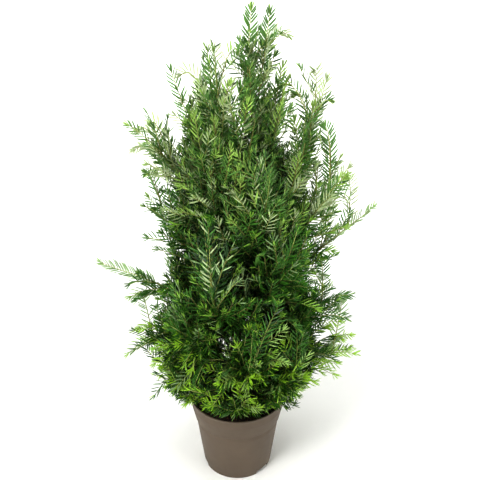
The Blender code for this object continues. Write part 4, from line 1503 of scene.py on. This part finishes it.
def make_soil(colours):
    """A crumbly top inside the rim, over a plain plug that fills the pot."""
    edge = SOIL_RADIUS - SOIL_GAP
    step = POT_HEIGHT - COLLAR_HEIGHT
    profile = [
        (0, POT_FLOOR + SOIL_GAP),
        (POT_BASE_RADIUS - SOIL_INSET, POT_FLOOR + SOIL_GAP),
        (pot_outer_radius(step) - SOIL_INSET, step),
        (pot_outer_radius(step) + COLLAR_STEP - SOIL_INSET, step + COLLAR_STEP_HEIGHT + SOIL_GAP),
        (edge, SOIL_LEVEL - SOIL_SIDE),
    ]
    profile += [(edge * (1 - i / SOIL_RINGS), SOIL_LEVEL) for i in range(SOIL_RINGS + 1)]
    mesh = turned(profile, SOIL_FACETS, "soil")
    for vert in mesh.vertices:
        if vert.co.z > SOIL_LEVEL - 0.001:
            vert.co.z = soil_height(vert.co.x, vert.co.y)
    mesh.shade_smooth()
    piece = add_piece("soil_peat", mesh, soil_material(colours.soil))
    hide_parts("soil")


def make_chips(sizes, colours):
    """Bits of bark and fibre that lie on the peat, as one joined mesh of squashed blocks."""
    rng = random.Random(CHIP_SEED)
    bm = bmesh.new()
    for _ in range(sizes.soil_chips):
        radius = (SOIL_RADIUS - CHIP_ROOM) * math.sqrt(rng.random())
        angle = rng.uniform(0, 2 * math.pi)
        x, y = radius * math.cos(angle), radius * math.sin(angle)
        if math.hypot(x, y) < TRUNK_FOOT_RADIUS + CHIP_ROOM:
            continue
        length = rng.uniform(*CHIP_LENGTHS)
        width = FIBRE_WIDTH if rng.random() < FIBRE_CHANCE else rng.uniform(*CHIP_WIDTHS)
        size = (length, length * width, rng.uniform(*CHIP_THICKNESSES))
        made = bmesh.ops.create_icosphere(bm, subdivisions=1, radius=0.5)["verts"]
        for vert in made:
            vert.co *= 1 + 0.25 * noise.noise(vert.co * 3 + Vector((x, y, 0)) * 900)
        turn = Matrix.Rotation(rng.uniform(0, 6.28), 4, "Z") @ Matrix.Rotation(rng.uniform(-0.5, 0.5), 4, "X")
        place = Matrix.Translation((x, y, soil_height(x, y) + SOIL_GAP))
        bmesh.ops.transform(bm, matrix=place @ turn @ Matrix.Diagonal((*size, 1)), verts=made)
    add_piece("soil_chips", mesh_from(bm, "soil_chips"), chip_material(colours.chip))


# View: the photograph's camera.
CAMERA_PLACE = (0.0062, -1.03, 0.93)
CAMERA_PITCH = 19.0
CAMERA_LENS = 37.5
CAMERA_SENSOR = 36.0
VIEW_GAMMA = 0.76

# Studio: the floor's flat radius, its bend up and its wall, and the lights by place, power and size.
FLOOR_RADIUS = 3.2
FLOOR_BEND = 1.8
FLOOR_RINGS = 24
FLOOR_FACETS = 128
WALL_TOP = 3.0
SOFTBOXES = {
    "key_softbox": ((-1.5, -1.9, 2.6), 74, 1.1),
    "top_softbox": ((0.2, -0.3, 3.2), 42, 1.8),
    "fill_softbox": ((2.2, -1.4, 1.5), 9, 1.6),
}
LIGHTS_AIM = Vector((0, 0, 0.5))
BACKDROP_LIGHTS = 6
BACKDROP_POWER = 60
BACKDROP_SIZE = 1.5
BACKDROP_FIRST = 30
BACKDROP_PLACE = (2.6, 2.6)
BACKDROP_AIM = (5.0, 0.6)
WORLD_STRENGTH = 0.42


def make_floor(colours):
    """A round floor that curves up into a wall far off, so that no edge shows behind the plant."""
    edge = FLOOR_RADIUS + FLOOR_BEND
    turns = np.linspace(0, math.pi / 2, FLOOR_RINGS)
    curve = [(FLOOR_RADIUS + FLOOR_BEND * math.sin(t), FLOOR_BEND * (1 - math.cos(t))) for t in turns]
    profile = [(0, 0), *curve, (edge, WALL_TOP)]
    mesh = turned(profile, FLOOR_FACETS, "studio_floor", closed=False)
    mesh.shade_smooth()
    mesh.materials.append(floor_material(colours.floor))
    floor = link("studio_floor", mesh)


def add_light(name, place, aim, power, size):
    data = bpy.data.lights.new(name, "AREA")
    data.energy = power
    data.size = size
    light = link(name, data)
    light.location = place
    light.rotation_euler = (aim - place).to_track_quat("-Z", "Y").to_euler()


def make_lights():
    """A large soft key from the upper left, a softbox overhead, a weak fill, and lights on the backdrop."""
    for name, (place, power, size) in SOFTBOXES.items():
        add_light(name, Vector(place), LIGHTS_AIM, power, size)
    for index in range(BACKDROP_LIGHTS):
        away = outward(BACKDROP_FIRST + index * 360 / BACKDROP_LIGHTS)
        place, aim = [away * out + UP * height for out, height in (BACKDROP_PLACE, BACKDROP_AIM)]
        add_light("backdrop_light", place, aim, BACKDROP_POWER, BACKDROP_SIZE)
    world = bpy.data.worlds.new("studio")
    world.use_nodes = True
    background = world.node_tree.nodes["Background"]
    background.inputs["Color"].default_value = (1.0, 1.0, 1.0, 1.0)
    background.inputs["Strength"].default_value = WORLD_STRENGTH
    bpy.context.scene.world = world
    view = bpy.context.scene.view_settings
    view.view_transform = "Standard"
    view.gamma = VIEW_GAMMA


def make_camera():
    data = bpy.data.cameras.new("photo_camera")
    data.lens = CAMERA_LENS
    data.sensor_width = CAMERA_SENSOR
    camera = link("photo_camera", data)
    camera.location = CAMERA_PLACE
    camera.rotation_euler = (math.radians(90 - CAMERA_PITCH), 0, 0)
    bpy.context.scene.camera = camera


class YEW_OT_stage(bpy.types.Operator):
    """Makes the floor, the lights and the camera"""

    bl_idname = "yew.stage"
    bl_label = "Stage"

    def execute(self, context):
        make_floor(context.scene.yew_colours)
        make_lights()
        make_camera()
        return {"FINISHED"}


class YEW_OT_pot(bpy.types.Operator):
    """Makes the moulded pot"""

    bl_idname = "yew.pot"
    bl_label = "Pot"

    def execute(self, context):
        make_pot(context.scene.yew_colours)
        return {"FINISHED"}


class YEW_OT_soil(bpy.types.Operator):
    """Makes the soil and the chips that lie on it"""

    bl_idname = "yew.soil"
    bl_label = "Soil"

    def execute(self, context):
        make_soil(context.scene.yew_colours)
        make_chips(context.scene.yew_sizes, context.scene.yew_colours)
        return {"FINISHED"}


class YEW_OT_limbs(bpy.types.Operator):
    """Makes the trunk and boughs with their bark"""

    bl_idname = "yew.limbs"
    bl_label = "Trunk and boughs"

    def execute(self, context):
        make_limbs(context.scene.yew_sizes, context.scene.yew_colours)
        return {"FINISHED"}


class YEW_OT_foliage(bpy.types.Operator):
    """Grows the twigs and needles of the crown"""

    bl_idname = "yew.foliage"
    bl_label = "Foliage"

    def execute(self, context):
        sizes, colours = context.scene.yew_sizes, context.scene.yew_colours
        stems, shoots = grow(sizes)
        make_needles(stems + shoots, sizes, colours)
        make_twigs(shoots, colours)
        make_stems(stems, colours)
        return {"FINISHED"}


OPERATORS = (YEW_OT_stage, YEW_OT_pot, YEW_OT_soil, YEW_OT_limbs, YEW_OT_foliage)


class YEW_PT_panel(bpy.types.Panel):
    """Sizes and colours of the yew, with a button for each group of pieces"""

    bl_idname = "YEW_PT_panel"
    bl_label = "Potted yew"
    bl_space_type = "VIEW_3D"
    bl_region_type = "UI"
    bl_category = "Yew"

    def draw(self, context):
        for group in (context.scene.yew_sizes, context.scene.yew_colours):
            column = self.layout.column()
            for name in group.__annotations__:
                column.prop(group, name)
        for operator in OPERATORS:
            self.layout.operator(operator.bl_idname)


CLASSES = (YewSizes, YewColours, *OPERATORS, YEW_PT_panel)


def register():
    for each in CLASSES:
        bpy.utils.register_class(each)
    bpy.types.Scene.yew_sizes = PointerProperty(type=YewSizes)
    bpy.types.Scene.yew_colours = PointerProperty(type=YewColours)


def unregister():
    del bpy.types.Scene.yew_sizes
    del bpy.types.Scene.yew_colours
    for each in reversed(CLASSES):
        bpy.utils.unregister_class(each)


def main():
    register()
    bpy.ops.yew.stage()
    bpy.ops.yew.pot()
    bpy.ops.yew.soil()
    bpy.ops.yew.limbs()
    bpy.ops.yew.foliage()


if __name__ == "__main__":
    main()
